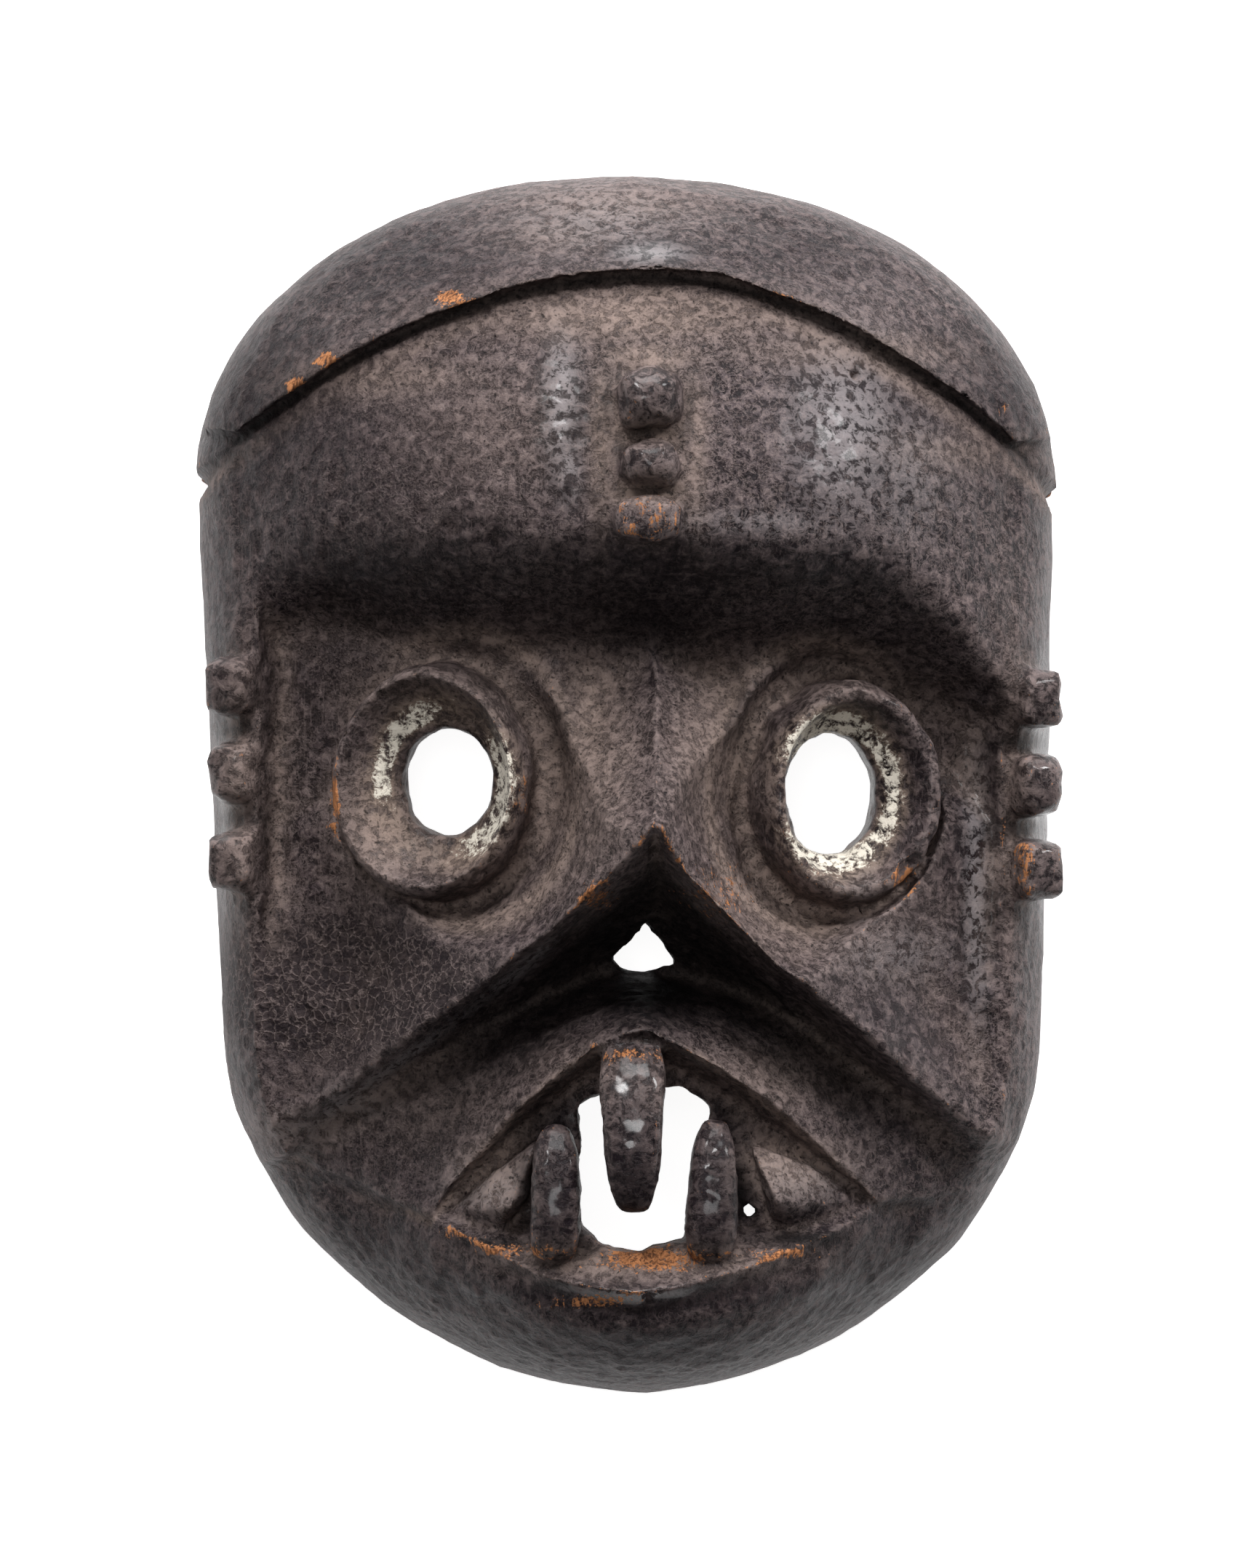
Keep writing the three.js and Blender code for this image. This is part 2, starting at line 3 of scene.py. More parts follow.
import bpy
import numpy as np
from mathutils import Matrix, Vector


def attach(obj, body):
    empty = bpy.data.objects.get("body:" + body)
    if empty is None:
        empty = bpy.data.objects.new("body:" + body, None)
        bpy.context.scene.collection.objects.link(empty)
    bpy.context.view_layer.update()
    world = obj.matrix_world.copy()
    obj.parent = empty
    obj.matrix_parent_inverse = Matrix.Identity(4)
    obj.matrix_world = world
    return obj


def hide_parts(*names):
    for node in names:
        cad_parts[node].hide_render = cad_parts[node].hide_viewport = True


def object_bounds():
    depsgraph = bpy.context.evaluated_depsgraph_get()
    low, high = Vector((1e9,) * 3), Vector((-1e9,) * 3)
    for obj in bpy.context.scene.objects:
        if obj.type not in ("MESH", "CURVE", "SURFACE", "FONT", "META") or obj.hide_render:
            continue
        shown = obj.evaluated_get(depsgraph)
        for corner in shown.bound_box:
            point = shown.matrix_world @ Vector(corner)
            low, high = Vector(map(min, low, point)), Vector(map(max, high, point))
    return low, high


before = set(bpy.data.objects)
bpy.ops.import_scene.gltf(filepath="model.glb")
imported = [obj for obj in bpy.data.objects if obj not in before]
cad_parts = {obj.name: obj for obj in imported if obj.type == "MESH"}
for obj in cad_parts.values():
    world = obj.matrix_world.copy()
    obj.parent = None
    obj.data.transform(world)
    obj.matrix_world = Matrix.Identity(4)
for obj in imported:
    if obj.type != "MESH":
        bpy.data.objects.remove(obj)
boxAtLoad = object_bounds()
print("frame loaded")

# The mask is carved in millimetres around its own middle and moved into the frame at the end
millimetre = 0.001
carveToFrame = (0.68, 0.07)  # mm, from the carving's middle to the middle of the frame's box


def lerp(a, b, t):
    return a + (b - a) * t


def smoothStep(value, low, high):
    t = np.clip((value - low) / (high - low), 0, 1)
    return t * t * (3 - 2 * t)


def smoothMax(a, b, width):
    mix = np.clip(0.5 + (a - b) / (2 * width), 0, 1)
    return lerp(b, a, mix) + width * mix * (1 - mix)


def smoothMin(a, b, width):
    return -smoothMax(-a, -b, width)


def bell(distance, width):  # 1 in the middle, fading to 0 on both sides
    return np.exp(-(distance / width) ** 2)


def deselectAll():
    bpy.ops.object.select_all(action="DESELECT")


def editMesh(action):  # action: SELECT or DESELECT everything
    bpy.ops.object.mode_set(mode="EDIT")
    bpy.ops.mesh.select_all(action=action)


def leaveEditing():
    bpy.ops.object.mode_set(mode="OBJECT")


def extrudeUp(height):
    bpy.ops.mesh.extrude_region_move(TRANSFORM_OT_translate={"value": (0, 0, height)})


def selectOnly(piece):
    deselectAll()
    piece.select_set(True)
    bpy.context.view_layer.objects.active = piece


def vertexPlaces(piece):
    places = np.empty(len(piece.data.vertices) * 3, np.float32)
    piece.data.vertices.foreach_get("co", places)
    return places.reshape(-1, 3).astype(float)


def placeVertices(piece, places):
    piece.data.vertices.foreach_set("co", places.astype(np.float32).ravel())
    piece.data.update()


def edgeEnds(piece):
    ends = np.empty(len(piece.data.edges) * 2, np.int32)
    piece.data.edges.foreach_get("vertices", ends)
    return ends.reshape(-1, 2)


def applyModifier(piece, kind, **settings):
    selectOnly(piece)
    modifier = piece.modifiers.new(kind.title(), kind)
    for key, value in settings.items():
        setattr(modifier, key, value)
    bpy.ops.object.modifier_apply(modifier=modifier.name)


def joinPieces(pieces):
    deselectAll()
    for piece in pieces:
        piece.select_set(True)
    bpy.context.view_layer.objects.active = pieces[0]
    bpy.ops.object.join()
    return pieces[0]


def combine(piece, tool, how):
    applyModifier(piece, "BOOLEAN", object=tool, operation=how, solver="MANIFOLD")
    bpy.data.objects.remove(tool, do_unlink=True)


def faceOutwards(piece):
    selectOnly(piece)
    editMesh("SELECT")
    bpy.ops.mesh.normals_make_consistent(inside=False)
    leaveEditing()


def gridHash(cell, seed):  # a fixed number from 0 to 1 for each whole-number point
    mixed = cell @ np.array([374761393, 668265263, 1440662683]) + seed * 1274126177
    mixed &= 0xFFFFFFFF
    mixed = ((mixed ^ (mixed >> 13)) * 1274126177) & 0xFFFFFFFF
    return ((mixed ^ (mixed >> 16)) & 0xFFFF) / 0xFFFF


def cloudNoise(places, size, seed, octaves=1):  # smooth noise from about -1 to 1
    total = np.zeros(len(places))
    for octave in range(octaves):
        scaled = places * (2 ** octave / size)
        cell = np.floor(scaled).astype(np.int64)
        t = scaled - cell
        t = t * t * (3 - 2 * t)
        for corner in product((0, 1), repeat=3):
            weight = np.prod(np.where(corner, t, 1 - t), axis=1)
            total += weight * (gridHash(cell + corner, seed + octave) * 2 - 1) / 2 ** octave
    return total


def cellNoise(places, size, seed):  # distances to the nearest and next scattered point, in cells
    scaled = places / size
    base = np.floor(scaled).astype(np.int64)
    nearest = np.full(len(places), 9.0)
    second = np.full(len(places), 9.0)
    for offset in product((-1, 0, 1), repeat=3):
        cell = base + offset
        spot = cell + np.stack([gridHash(cell, seed + axis) for axis in range(3)], axis=1)
        distance = np.linalg.norm(scaled - spot, axis=1)
        second = np.minimum(second, np.maximum(nearest, distance))
        nearest = np.minimum(nearest, distance)
    return nearest, second


# The face's outline and the lines of its carving, in mm: +y to the crown, +z out of the face
outline = {
    "crownY": 65, "crownRise": 75, "crownHalfWidth": 99.6, "crownRoundness": 2.12,
    "chinY": -55, "chinDrop": 86.2, "chinHalfWidth": 95.2, "chinRoundness": 1.92,
    "slant": 0.012,  # the middle line leans a little
    "shoulder": 0.9, "sideTurn": 0.24, "chinTurn": 0.4, "rimTuck": 0.01, "wallThickness": 11,
}
cap = {
    "peakX": 3, "peakY": 115, "dropLeft": 0.0066, "dropRight": 0.0082, "power": 1.9,
    "edgeHeight": 42, "swell": 66, "swellPower": 2.4, "step": 6, "grooveWidth": 4,
    "grooveSlope": 0.6, "sideStep": 1.3, "sideStepWidth": 1.2,
    "sideGroove": 2.2, "sideGrooveBelow": 2.4, "sideGrooveWidth": 1.6,
}
brow = {
    "y": 53, "centreX": 5, "height": 101, "sideDrop": 39, "sidePower": 2.3, "rollOver": 9,
    "lipWidth": 8, "underSlope": 1.25, "halfWidth": 85, "tiltRight": 0.07, "cornerPower": 2.2,
    "cornerLeft": 60, "cornerDropLeft": 8, "cornerRight": 45, "cornerDropRight": 20,
    "foreheadSwell": 6, "templeBlend": 4, "wallBelow": 14,
}
eyeField = {
    "halfWidth": 80, "centreHeight": 74, "sideHeight": 49, "power": 1.3,
    "cheekTop": -14, "cheekBottom": -52, "cheekHeight": 60,
    "templeX": 84, "templeHeight": 58, "wallSlopeLeft": 2.2, "wallSlopeRight": 1.3, "outwardFall": 0.5,
    "upwardFall": 0.2, "ridgeBlend": 2, "fieldBlend": 4, "browBlend": (5, 8),
}
nose = {
    "x": 6, "rootY": 20, "rootHeight": 84, "tipY": -9.5, "tipHeight": 112,
    "flankSlope": 0.74, "ridgeLine": 1.1, "ridgeLineWidth": 1.5, "rootWidth": 22, "ridgeStart": 4,
}
fold = {
    "dropLeft": 1.55, "dropRight": 1.75, "power": 0.856, "heightLoss": 51, "heightPower": 1.15,
    "reach": 82, "cheekSlope": 0.42, "ridgeSlope": 0.95, "ridgeWidth": 26, "underSlope": 3, "roll": 5,
}
trough = {
    "centreBand": 27, "bandFade": 20, "sideBand": 6, "centreHeight": 54, "flankStart": 4,
    "flankEnd": 34, "flankHeight": 64, "endStart": 50, "endEnd": 80, "endHeight": 57,
    "notchPower": 1.5, "lipPower": 1.3,
}
mouth = {
    "x": 3, "upperY": -55, "dropLeft": 0.079, "powerLeft": 1.63, "dropRight": 0.18,
    "powerRight": 1.355, "creaseLeft": -98.5, "creaseRight": -94,
    "creaseReach": 46, "creaseRiseLeft": 0.4, "creaseRiseRight": 0.06, "cornerTuck": 4,
    "tuckBegins": (38, 52), "tuckEnds": (62, 84),  # mm from the middle of the mouth
    "upperHeight": 95, "upperSideDrop": 42, "upperSidePower": 1.6, "upperReach": 73,
    "lowerY": -112, "lowerRise": 0.0068, "lowerHeight": 98, "lowerSideDrop": 25,
    "lowerHalfWidth": 48, "band": 4.5, "leastBand": 1.2, "bandDepth": 5, "leastGap": 2.4,
    "floorHeight": 79, "floorSideDrop": 12, "upperWall": 2.4, "lowerWall": 1.5,
    "chinRoundness": 2.1,
}


# Each tube eye is a raised oval lip that leans outward, around a funnel
eyes = [
    {"x": -43.9, "y": 0.6, "height": 68, "width": 46.5, "length": 53.5, "tilt": 0.3,
     "holeShift": 3.6, "holeWidth": 20.2, "holeLength": 24, "moatTowards": (0.99, 0.1), "crest": 0.87,
     "uneven": 0.016},
    {"x": 48.6, "y": -2, "height": 67, "width": 43.5, "length": 52, "tilt": -0.3,
     "holeShift": -4, "holeWidth": 20.6, "holeLength": 27.4, "moatTowards": (-0.97, 0.24), "crest": 0.79,
     "uneven": 0.03},
]
eyeShape = {
    "rise": 10, "moatWidth": 9.5, "moatDepth": 5, "moatSlope": 2.2,
    "moatLeast": 0.15, "moatOpens": (-0.55, 0.8), "moatCloses": (-0.7, 0.1), "moatFlat": 0.45,
    "closedRise": 14, "moatBlend": 1.6,
    "segments": 96, "unevenSize": 8, "raggedSize": 4.5, "ragged": 0.05, "raggedTop": 6,
    # from foot to crest: share of the lip's radius, mm outside that, mm up
    "lip": [(1, 0.6, -12), (1, 0.3, -2), (1, 0, 1.5), (0.985, 0, 4.5), (0.955, 0, 7.4), (0.92, 0, 9.1),
            (0.885, 0, 10), (0.84, 0, 9.6)],
    # from below to above: way from the hole's edge to the crest, factor on that radius, mm up
    "funnel": [(0, 1, -60), (0, 1, -20), (0, 1, -2), (0, 1.03, 0), (0.22, 1, 1), (0.5, 1, 3.2),
               (0.78, 1, 6.2), (1, 0.98, 8.8), (1, 1.03, 10.6), (1, 1.05, 16)],
}


def middleX(y):
    return -outline["slant"] * y


def outlineShare(x, y):  # 0 on the middle line, 1 on the outline
    def bow(across, along, power):
        return (np.abs(across) ** power + np.abs(along) ** power) ** (1 / power)

    across = x - middleX(y)
    crown = bow(across / outline["crownHalfWidth"],
                np.maximum(0, y - outline["crownY"]) / outline["crownRise"], outline["crownRoundness"])
    chin = bow(across / outline["chinHalfWidth"],
               np.maximum(0, outline["chinY"] - y) / outline["chinDrop"], outline["chinRoundness"])
    upShare = (y - outline["chinY"]) / (outline["crownY"] - outline["chinY"])
    side = np.abs(across) / lerp(outline["chinHalfWidth"], outline["crownHalfWidth"], upShare)
    return np.where(y > outline["crownY"], crown, np.where(y < outline["chinY"], chin, side))


def atShare(x, y, share):  # moves points away from the middle line until they lie at that share
    spineY = np.clip(y, outline["chinY"], outline["crownY"])
    factor = share / outlineShare(x, y)
    newY = spineY + (y - spineY) * factor
    return middleX(newY) + (x - middleX(y)) * factor, newY


def capEdge(x):
    drop = np.where(x < cap["peakX"], cap["dropLeft"], cap["dropRight"])
    return cap["peakY"] - drop * np.abs(x - cap["peakX"]) ** cap["power"]


def browLine(x):
    corner = np.where(x < 0, brow["cornerLeft"], brow["cornerRight"])
    cornerDrop = np.where(x < 0, brow["cornerDropLeft"], brow["cornerDropRight"])
    past = np.maximum(0, np.abs(x) - corner) / (eyeField["halfWidth"] - corner)
    return brow["y"] - brow["tiltRight"] * np.maximum(0, x) - cornerDrop * past ** brow["cornerPower"]


def foldLine(x):
    drop = np.where(x < nose["x"], fold["dropLeft"], fold["dropRight"])
    return nose["tipY"] - drop * np.abs(x - nose["x"]) ** fold["power"]


def troughLine(x):
    centreShare = np.exp(-np.abs(x - nose["x"]) / trough["bandFade"])
    return foldLine(x) - trough["sideBand"] - trough["centreBand"] * centreShare


def upperLipLine(x):  # the lip's crest, and past the mouth's corners the crease under the muzzle
    across = np.abs(x - mouth["x"])
    past = np.maximum(0, across - mouth["creaseReach"])
    left = np.maximum(mouth["upperY"] - mouth["dropLeft"] * across ** mouth["powerLeft"],
                      mouth["creaseLeft"] + mouth["creaseRiseLeft"] * past)
    right = np.maximum(mouth["upperY"] - mouth["dropRight"] * across ** mouth["powerRight"],
                       mouth["creaseRight"] + mouth["creaseRiseRight"] * past)
    return np.minimum(np.where(x < mouth["x"], left, right), troughLine(x) - mouth["leastGap"])


def lowerLipLine(x):
    lip = mouth["lowerY"] + mouth["lowerRise"] * (x - mouth["x"]) ** 2
    return np.minimum(lip, upperLipLine(x) - mouth["leastGap"])


def lowerLipShare(x):
    return np.maximum(0, 1 - ((x - mouth["x"]) / mouth["lowerHalfWidth"]) ** 2)


def lowerLipFoot(x):
    return lowerLipLine(x) - mouth["leastBand"] - mouth["band"] * lowerLipShare(x) ** 0.5


def capHeight(x, y):
    inside = 1 - np.minimum(1, outlineShare(x, y)) ** cap["swellPower"]
    return cap["edgeHeight"] + cap["swell"] * inside


def browHeight(x):
    across = np.abs(x - brow["centreX"]) / brow["halfWidth"]
    return brow["height"] - brow["sideDrop"] * across ** brow["sidePower"]


def foldHeight(x):
    along = np.abs(x - nose["x"]) / fold["reach"]
    return nose["tipHeight"] - fold["heightLoss"] * along ** fold["heightPower"]


def troughHeight(x):
    across = np.abs(x - nose["x"])
    flank = lerp(trough["centreHeight"], trough["flankHeight"],
                 smoothStep(across, trough["flankStart"], trough["flankEnd"]))
    return lerp(flank, trough["endHeight"], smoothStep(across, trough["endStart"], trough["endEnd"]))


def upperLipHeight(x):
    along = np.abs(x - mouth["x"]) / mouth["upperReach"]
    return mouth["upperHeight"] - mouth["upperSideDrop"] * along ** mouth["upperSidePower"]


def lowerLipHeight(x):
    lip = mouth["lowerHeight"] - mouth["lowerSideDrop"] * ((x - mouth["x"]) / mouth["lowerHalfWidth"]) ** 2
    across = np.abs(x - mouth["x"])
    tuck = smoothStep(across, *mouth["tuckBegins"]) * (1 - smoothStep(across, *mouth["tuckEnds"]))
    tuck = 1 + mouth["cornerTuck"] * tuck
    return np.maximum(lip, upperLipHeight(x) - tuck)


def browUnder(x, y):  # the brow's underside, as a slope that also runs on above its edge
    return browHeight(x) - brow["underSlope"] * (browLine(x) - y)


def templeBand(x, y):  # the strip outside the eye recess, which runs up beside the forehead
    side = np.abs(x) - eyeField["templeX"]
    wallSlope = np.where(x < 0, eyeField["wallSlopeLeft"], eyeField["wallSlopeRight"])
    return (eyeField["templeHeight"] - eyeField["outwardFall"] * np.maximum(0, side)
            + wallSlope * np.minimum(0, side) - eyeField["upwardFall"] * np.maximum(0, y - browLine(x)))


def foreheadHeight(x, y):
    top = capEdge(x) - cap["grooveWidth"]
    edgeHeight = capHeight(x, capEdge(x))
    topHeight = edgeHeight - cap["step"] * cap["grooveSlope"]
    groove = lerp(topHeight, edgeHeight - cap["step"], smoothStep(y, top, capEdge(x) - 1))
    t = np.clip((y - browLine(x)) / (top - browLine(x)), 0, 1)
    swell = brow["foreheadSwell"] * np.sin(np.pi * t) * (1 - (x / outline["crownHalfWidth"]) ** 2)
    forehead = smoothMin(lerp(browHeight(x), topHeight, t) + swell, browUnder(x, y), brow["rollOver"])
    return np.where(y > top, groove, smoothMax(forehead, templeBand(x, y), brow["templeBlend"]))


def eyeFieldHeight(x, y):
    share = np.minimum(1, np.abs(x) / eyeField["halfWidth"])
    cheekShare = smoothStep(-y, -eyeField["cheekTop"], -eyeField["cheekBottom"])
    sideHeight = lerp(eyeField["sideHeight"], eyeField["cheekHeight"], cheekShare)
    field = sideHeight + (eyeField["centreHeight"] - sideHeight) * (1 - share ** eyeField["power"])
    under = smoothMin(browHeight(x), browUnder(x, y), brow["rollOver"])
    alongNose = (y - nose["rootY"]) / (nose["tipY"] - nose["rootY"])
    rising = lerp(nose["rootHeight"], nose["tipHeight"], alongNose)
    flank = np.minimum(nose["tipHeight"], rising) - nose["flankSlope"] * np.abs(x - nose["x"])
    ridgeLine = nose["ridgeLine"] * bell(x - nose["x"], nose["ridgeLineWidth"])
    cheekSlope = lerp(fold["ridgeSlope"], fold["cheekSlope"],
                      smoothStep(np.abs(x - nose["x"]), nose["ridgeStart"], fold["ridgeWidth"]))
    cheek = foldHeight(x) - cheekSlope * (y - foldLine(x))
    nearNose = bell(x - nose["x"], nose["rootWidth"])
    ridge = smoothMax(cheek, flank, eyeField["ridgeBlend"]) + ridgeLine
    face = smoothMax(field, ridge, eyeField["fieldBlend"])
    face = smoothMax(face, under, lerp(*eyeField["browBlend"], nearNose))
    face = smoothMax(face, templeBand(x, y), brow["templeBlend"])
    edge = foldHeight(x) + fold["underSlope"] * (y - foldLine(x))
    return moated(smoothMin(face, edge, fold["roll"]), x, y)


def aroundEye(eye, x, y):  # how far a point faces the wide side of the groove, and mm outside the lip
    dx, dy = (x - eye["x"]) / (eye["width"] / 2), (y - eye["y"]) / (eye["length"] / 2)
    radius = np.hypot(dx, dy)
    towardsX, towardsY = eye["moatTowards"]
    facing = (dx * towardsX + dy * towardsY) / np.maximum(radius, 0.1)
    return facing, (radius - 1) * (eye["width"] + eye["length"]) / 4


def moated(face, x, y):  # sinks a groove beside each tube eye, widest towards the nose
    for eye in eyes:
        facing, out = aroundEye(eye, x, y)
        opened = smoothStep(facing, *eyeShape["moatOpens"])
        width = eyeShape["moatWidth"] * lerp(eyeShape["moatLeast"], 1, opened)
        floor = eye["height"] + np.tan(eye["tilt"]) * (x - eye["x"]) - eyeShape["moatDepth"]
        groove = floor + eyeShape["moatSlope"] * np.maximum(0, out - eyeShape["moatFlat"] * width)
        closed = 1 - smoothStep(facing, *eyeShape["moatCloses"])
        groove += closed * eyeShape["closedRise"] * smoothStep(out, 0, 2)
        face = smoothMin(face, groove, eyeShape["moatBlend"])
    return face


def muzzleHeight(x, y):
    low = troughLine(x)
    notch = np.clip((y - low) / (foldLine(x) - low), 0, 1)
    lip = np.clip((y - upperLipLine(x)) / (low - upperLipLine(x)), 0, 1)
    cheek = foldHeight(x) - fold["cheekSlope"] * (y - foldLine(x))
    underFold = lerp(troughHeight(x), foldHeight(x), notch ** trough["notchPower"])
    aboveLip = lerp(upperLipHeight(x), troughHeight(x), lip ** trough["lipPower"])
    return np.where(y > low, smoothMin(underFold, cheek, fold["roll"]), aboveLip)


def mouthHeight(x, y):
    across = (x - mouth["x"]) / mouth["lowerHalfWidth"]
    floor = mouth["floorHeight"] - mouth["floorSideDrop"] * across ** 2
    upper = upperLipHeight(x) - mouth["upperWall"] * (upperLipLine(x) - y)
    lower = lowerLipHeight(x) - mouth["lowerWall"] * (y - lowerLipLine(x))
    return np.maximum(np.maximum(floor, upper), lower)


def chinHeight(x, y):
    footY = lowerLipFoot(x)
    footHeight = lowerLipHeight(x) - mouth["bandDepth"] * lowerLipShare(x)
    lip = lerp(footHeight, lowerLipHeight(x), np.clip((y - footY) / (lowerLipLine(x) - footY), 0, 1) ** 2)
    start = np.minimum(outlineShare(x, footY), outline["shoulder"] - 0.03)
    t = np.clip((outlineShare(x, y) - start) / (1 - start), 0, 0.999)
    return np.where(y > footY, lip, footHeight * (1 - t ** mouth["chinRoundness"]) ** 0.5)


def faceHeight(x, y):
    y = y + 1e-6  # a point on a line belongs to the zone above it
    zones = [(capEdge, capHeight), (browLine, foreheadHeight), (foldLine, eyeFieldHeight),
             (upperLipLine, muzzleHeight), (lowerLipLine, mouthHeight)]
    return np.select([y >= line(x) for line, height in zones], [height(x, y) for line, height in zones],
                     chinHeight(x, y))


def rowAlong(line, columns, border):  # plan places along a line, from border to border
    def reachSide(side):
        inner, outer = 0.0, outline["crownHalfWidth"]
        for halving in range(30):
            middle = (inner + outer) / 2
            if outlineShare(side * middle, line(np.array(side * middle))) < border:
                inner = middle
            else:
                outer = middle
        return inner

    reach = np.where(columns < 0, reachSide(-1), reachSide(1))
    x = reach * columns + nose["x"] * (1 - np.abs(columns))
    return np.stack([x, line(x)], axis=1)


def rowOnBorder(centreY, spread, direction, columns, border):
    angle = columns * spread
    x = outline["crownHalfWidth"] * np.sin(angle)
    y = centreY + direction * outline["crownRise"] * np.cos(angle)
    return np.stack(atShare(x, y, border), axis=1)


def rowsBetween(stations):  # each station is a row and the number of strips down to the next one
    rows = []
    for (row, bands), (nextRow, _) in zip(stations, stations[1:]):
        rows += [lerp(row, nextRow, band / bands) for band in range(bands)]
    return np.array(rows + [stations[-1][0]])


def gridSolid(name, columns, rows, levels):  # closed block whose vertices are (column, row, -level)
    across, down = columns - 1, rows - 1
    deselectAll()
    bpy.ops.mesh.primitive_grid_add(x_subdivisions=across, y_subdivisions=down, size=2)
    piece = bpy.context.object
    piece.name = name
    places = vertexPlaces(piece)
    places[:, 0] = np.round((places[:, 0] + 1) / 2 * across)
    places[:, 1] = np.round((places[:, 1] + 1) / 2 * down)
    placeVertices(piece, places)
    editMesh("DESELECT")
    bpy.ops.mesh.select_mode(type="EDGE")
    bpy.ops.mesh.select_non_manifold(extend=False, use_wire=False, use_boundary=True,
                                     use_multi_face=False, use_non_contiguous=False, use_verts=False)
    extrudeUp(-levels)
    bpy.ops.mesh.edge_face_add()
    bpy.ops.mesh.select_all(action="DESELECT")
    leaveEditing()
    height = vertexPlaces(piece)[:, 2]
    ends = edgeEnds(piece)
    upright = np.abs(height[ends[:, 0]] - height[ends[:, 1]]) > levels / 2
    piece.data.edges.foreach_set("select", upright)
    bpy.ops.object.mode_set(mode="EDIT")
    bpy.ops.mesh.subdivide(number_cuts=levels - 1)
    leaveEditing()
    return piece


block = {
    "columnsFront": 76,   # columns in each half of the face, and closer ones where the temple walls drop
    "columnsTemple": 44, "templeStart": 0.84,
    "crownSpread": 1.13, "chinSpreadLeft": 0.93, "chinSpreadRight": 0.84, "levels": 56,
    "bands": [26, 3, 5, 46, 6, 18, 84, 20, 26, 6, 34, 4, 8, 42],
    "wander": [(19, 0.8, 61), (6.5, 0.3, 65)],  # size of the waves, how far they go (mm), seed
    "wanderEnds": (0.84, 0.9), "chinFrom": (92, 124), "mouthTop": 0.16, "mouthBottom": 0.8,
}


def blockPiece():
    half = np.concatenate([np.linspace(0, block["templeStart"], block["columnsFront"], endpoint=False),
                           np.linspace(block["templeStart"], 1, block["columnsTemple"])])
    columns = np.concatenate([-half[:0:-1], half])
    shoulder = outline["shoulder"]
    lines = [
        capEdge,
        lambda x: capEdge(x) - 1,
        lambda x: capEdge(x) - cap["grooveWidth"],
        lambda x: browLine(x) + brow["lipWidth"],
        browLine,
        lambda x: browLine(x) - brow["wallBelow"],
        foldLine,
        troughLine,
        upperLipLine,
        lambda x: lerp(upperLipLine(x), lowerLipLine(x), block["mouthTop"]),
        lambda x: lerp(upperLipLine(x), lowerLipLine(x), block["mouthBottom"]),
        lowerLipLine,
        lowerLipFoot,
    ]
    stations = [rowOnBorder(outline["crownY"], block["crownSpread"], 1, columns, shoulder)]
    stations += [rowAlong(line, columns, shoulder) for line in lines]
    chinSpread = np.where(columns < 0, block["chinSpreadLeft"], block["chinSpreadRight"])
    stations.append(rowOnBorder(outline["chinY"], chinSpread, -1, columns, shoulder))
    plan = rowsBetween(list(zip(stations, block["bands"] + [0])))
    piece = gridSolid("carvedMask", len(columns), len(plan), block["levels"])

    i, j, k = np.round(vertexPlaces(piece)).astype(int).T
    planX, planY = plan[len(plan) - 1 - j, i].T
    height = faceHeight(planX, planY)
    # the side wall goes on at about the face's own slope, so no ring shows at the shoulder
    turn = lerp(outline["sideTurn"], outline["chinTurn"], smoothStep(-planY, *block["chinFrom"]))
    level = np.cos(-k / block["levels"] * np.pi / 2)
    out = 1 - level ** (1 / turn)
    wallX, wallY = atShare(planX, planY, lerp(outline["shoulder"], 1, out))
    belowCap = capEdge(wallX) - wallY
    capStep = cap["sideStep"] * (1 - smoothStep(belowCap, 0, cap["sideStepWidth"]))
    capStep -= cap["sideGroove"] * bell(belowCap - cap["sideGrooveBelow"], cap["sideGrooveWidth"])
    share = lerp(outline["shoulder"], 1 + capStep / outline["crownHalfWidth"], out)
    share -= outline["rimTuck"] * (1 - level) ** 3
    wallX, wallY = atShare(planX, planY, share)
    onFace = k == 0
    places = np.stack([np.where(onFace, planX, wallX), np.where(onFace, planY, wallY),
                       np.where(onFace, height, height * level)], axis=1)
    inner = (1 - smoothStep(outlineShare(planX, planY), *block["wanderEnds"]))[:, None] * onFace[:, None]
    for size, reach, seed in block["wander"]:  # the hand's unsteadiness along every line
        shift = np.stack([cloudNoise(places, size, seed + axis) for axis in range(2)], axis=1)
        places[:, :2] += shift * reach * inner
    placeVertices(piece, places)
    faceOutwards(piece)
    return piece


# The hollow behind the face
hollow = {
    "height": 53, "foreheadY": 76, "foreheadDepth": 31, "foreheadSize": 42,
    "mouthY": -90, "mouthDepth": 15, "mouthSize": 30, "noseY": -42, "noseShallow": 14, "noseSize": 27,
    "shoulder": 0.9, "wallCurve": 1.5, "squareness": 4, "overcut": 4,
    "bands": [10, 40, 10], "columns": 61, "levels": 16,
}
rimShare = 1 - outline["wallThickness"] / outline["chinHalfWidth"]


def roofHeight(x, y):
    def bump(centreY, size):
        return np.exp(-((x / size) ** 2) - ((y - centreY) / size) ** 2)

    roof = (hollow["height"] + hollow["foreheadDepth"] * bump(hollow["foreheadY"], hollow["foreheadSize"])
            + hollow["mouthDepth"] * bump(hollow["mouthY"], hollow["mouthSize"])
            - hollow["noseShallow"] * bump(hollow["noseY"], hollow["noseSize"]))
    share = np.minimum(1, outlineShare(x, y) / rimShare)
    return roof * (1 - share ** hollow["squareness"]) ** 0.5


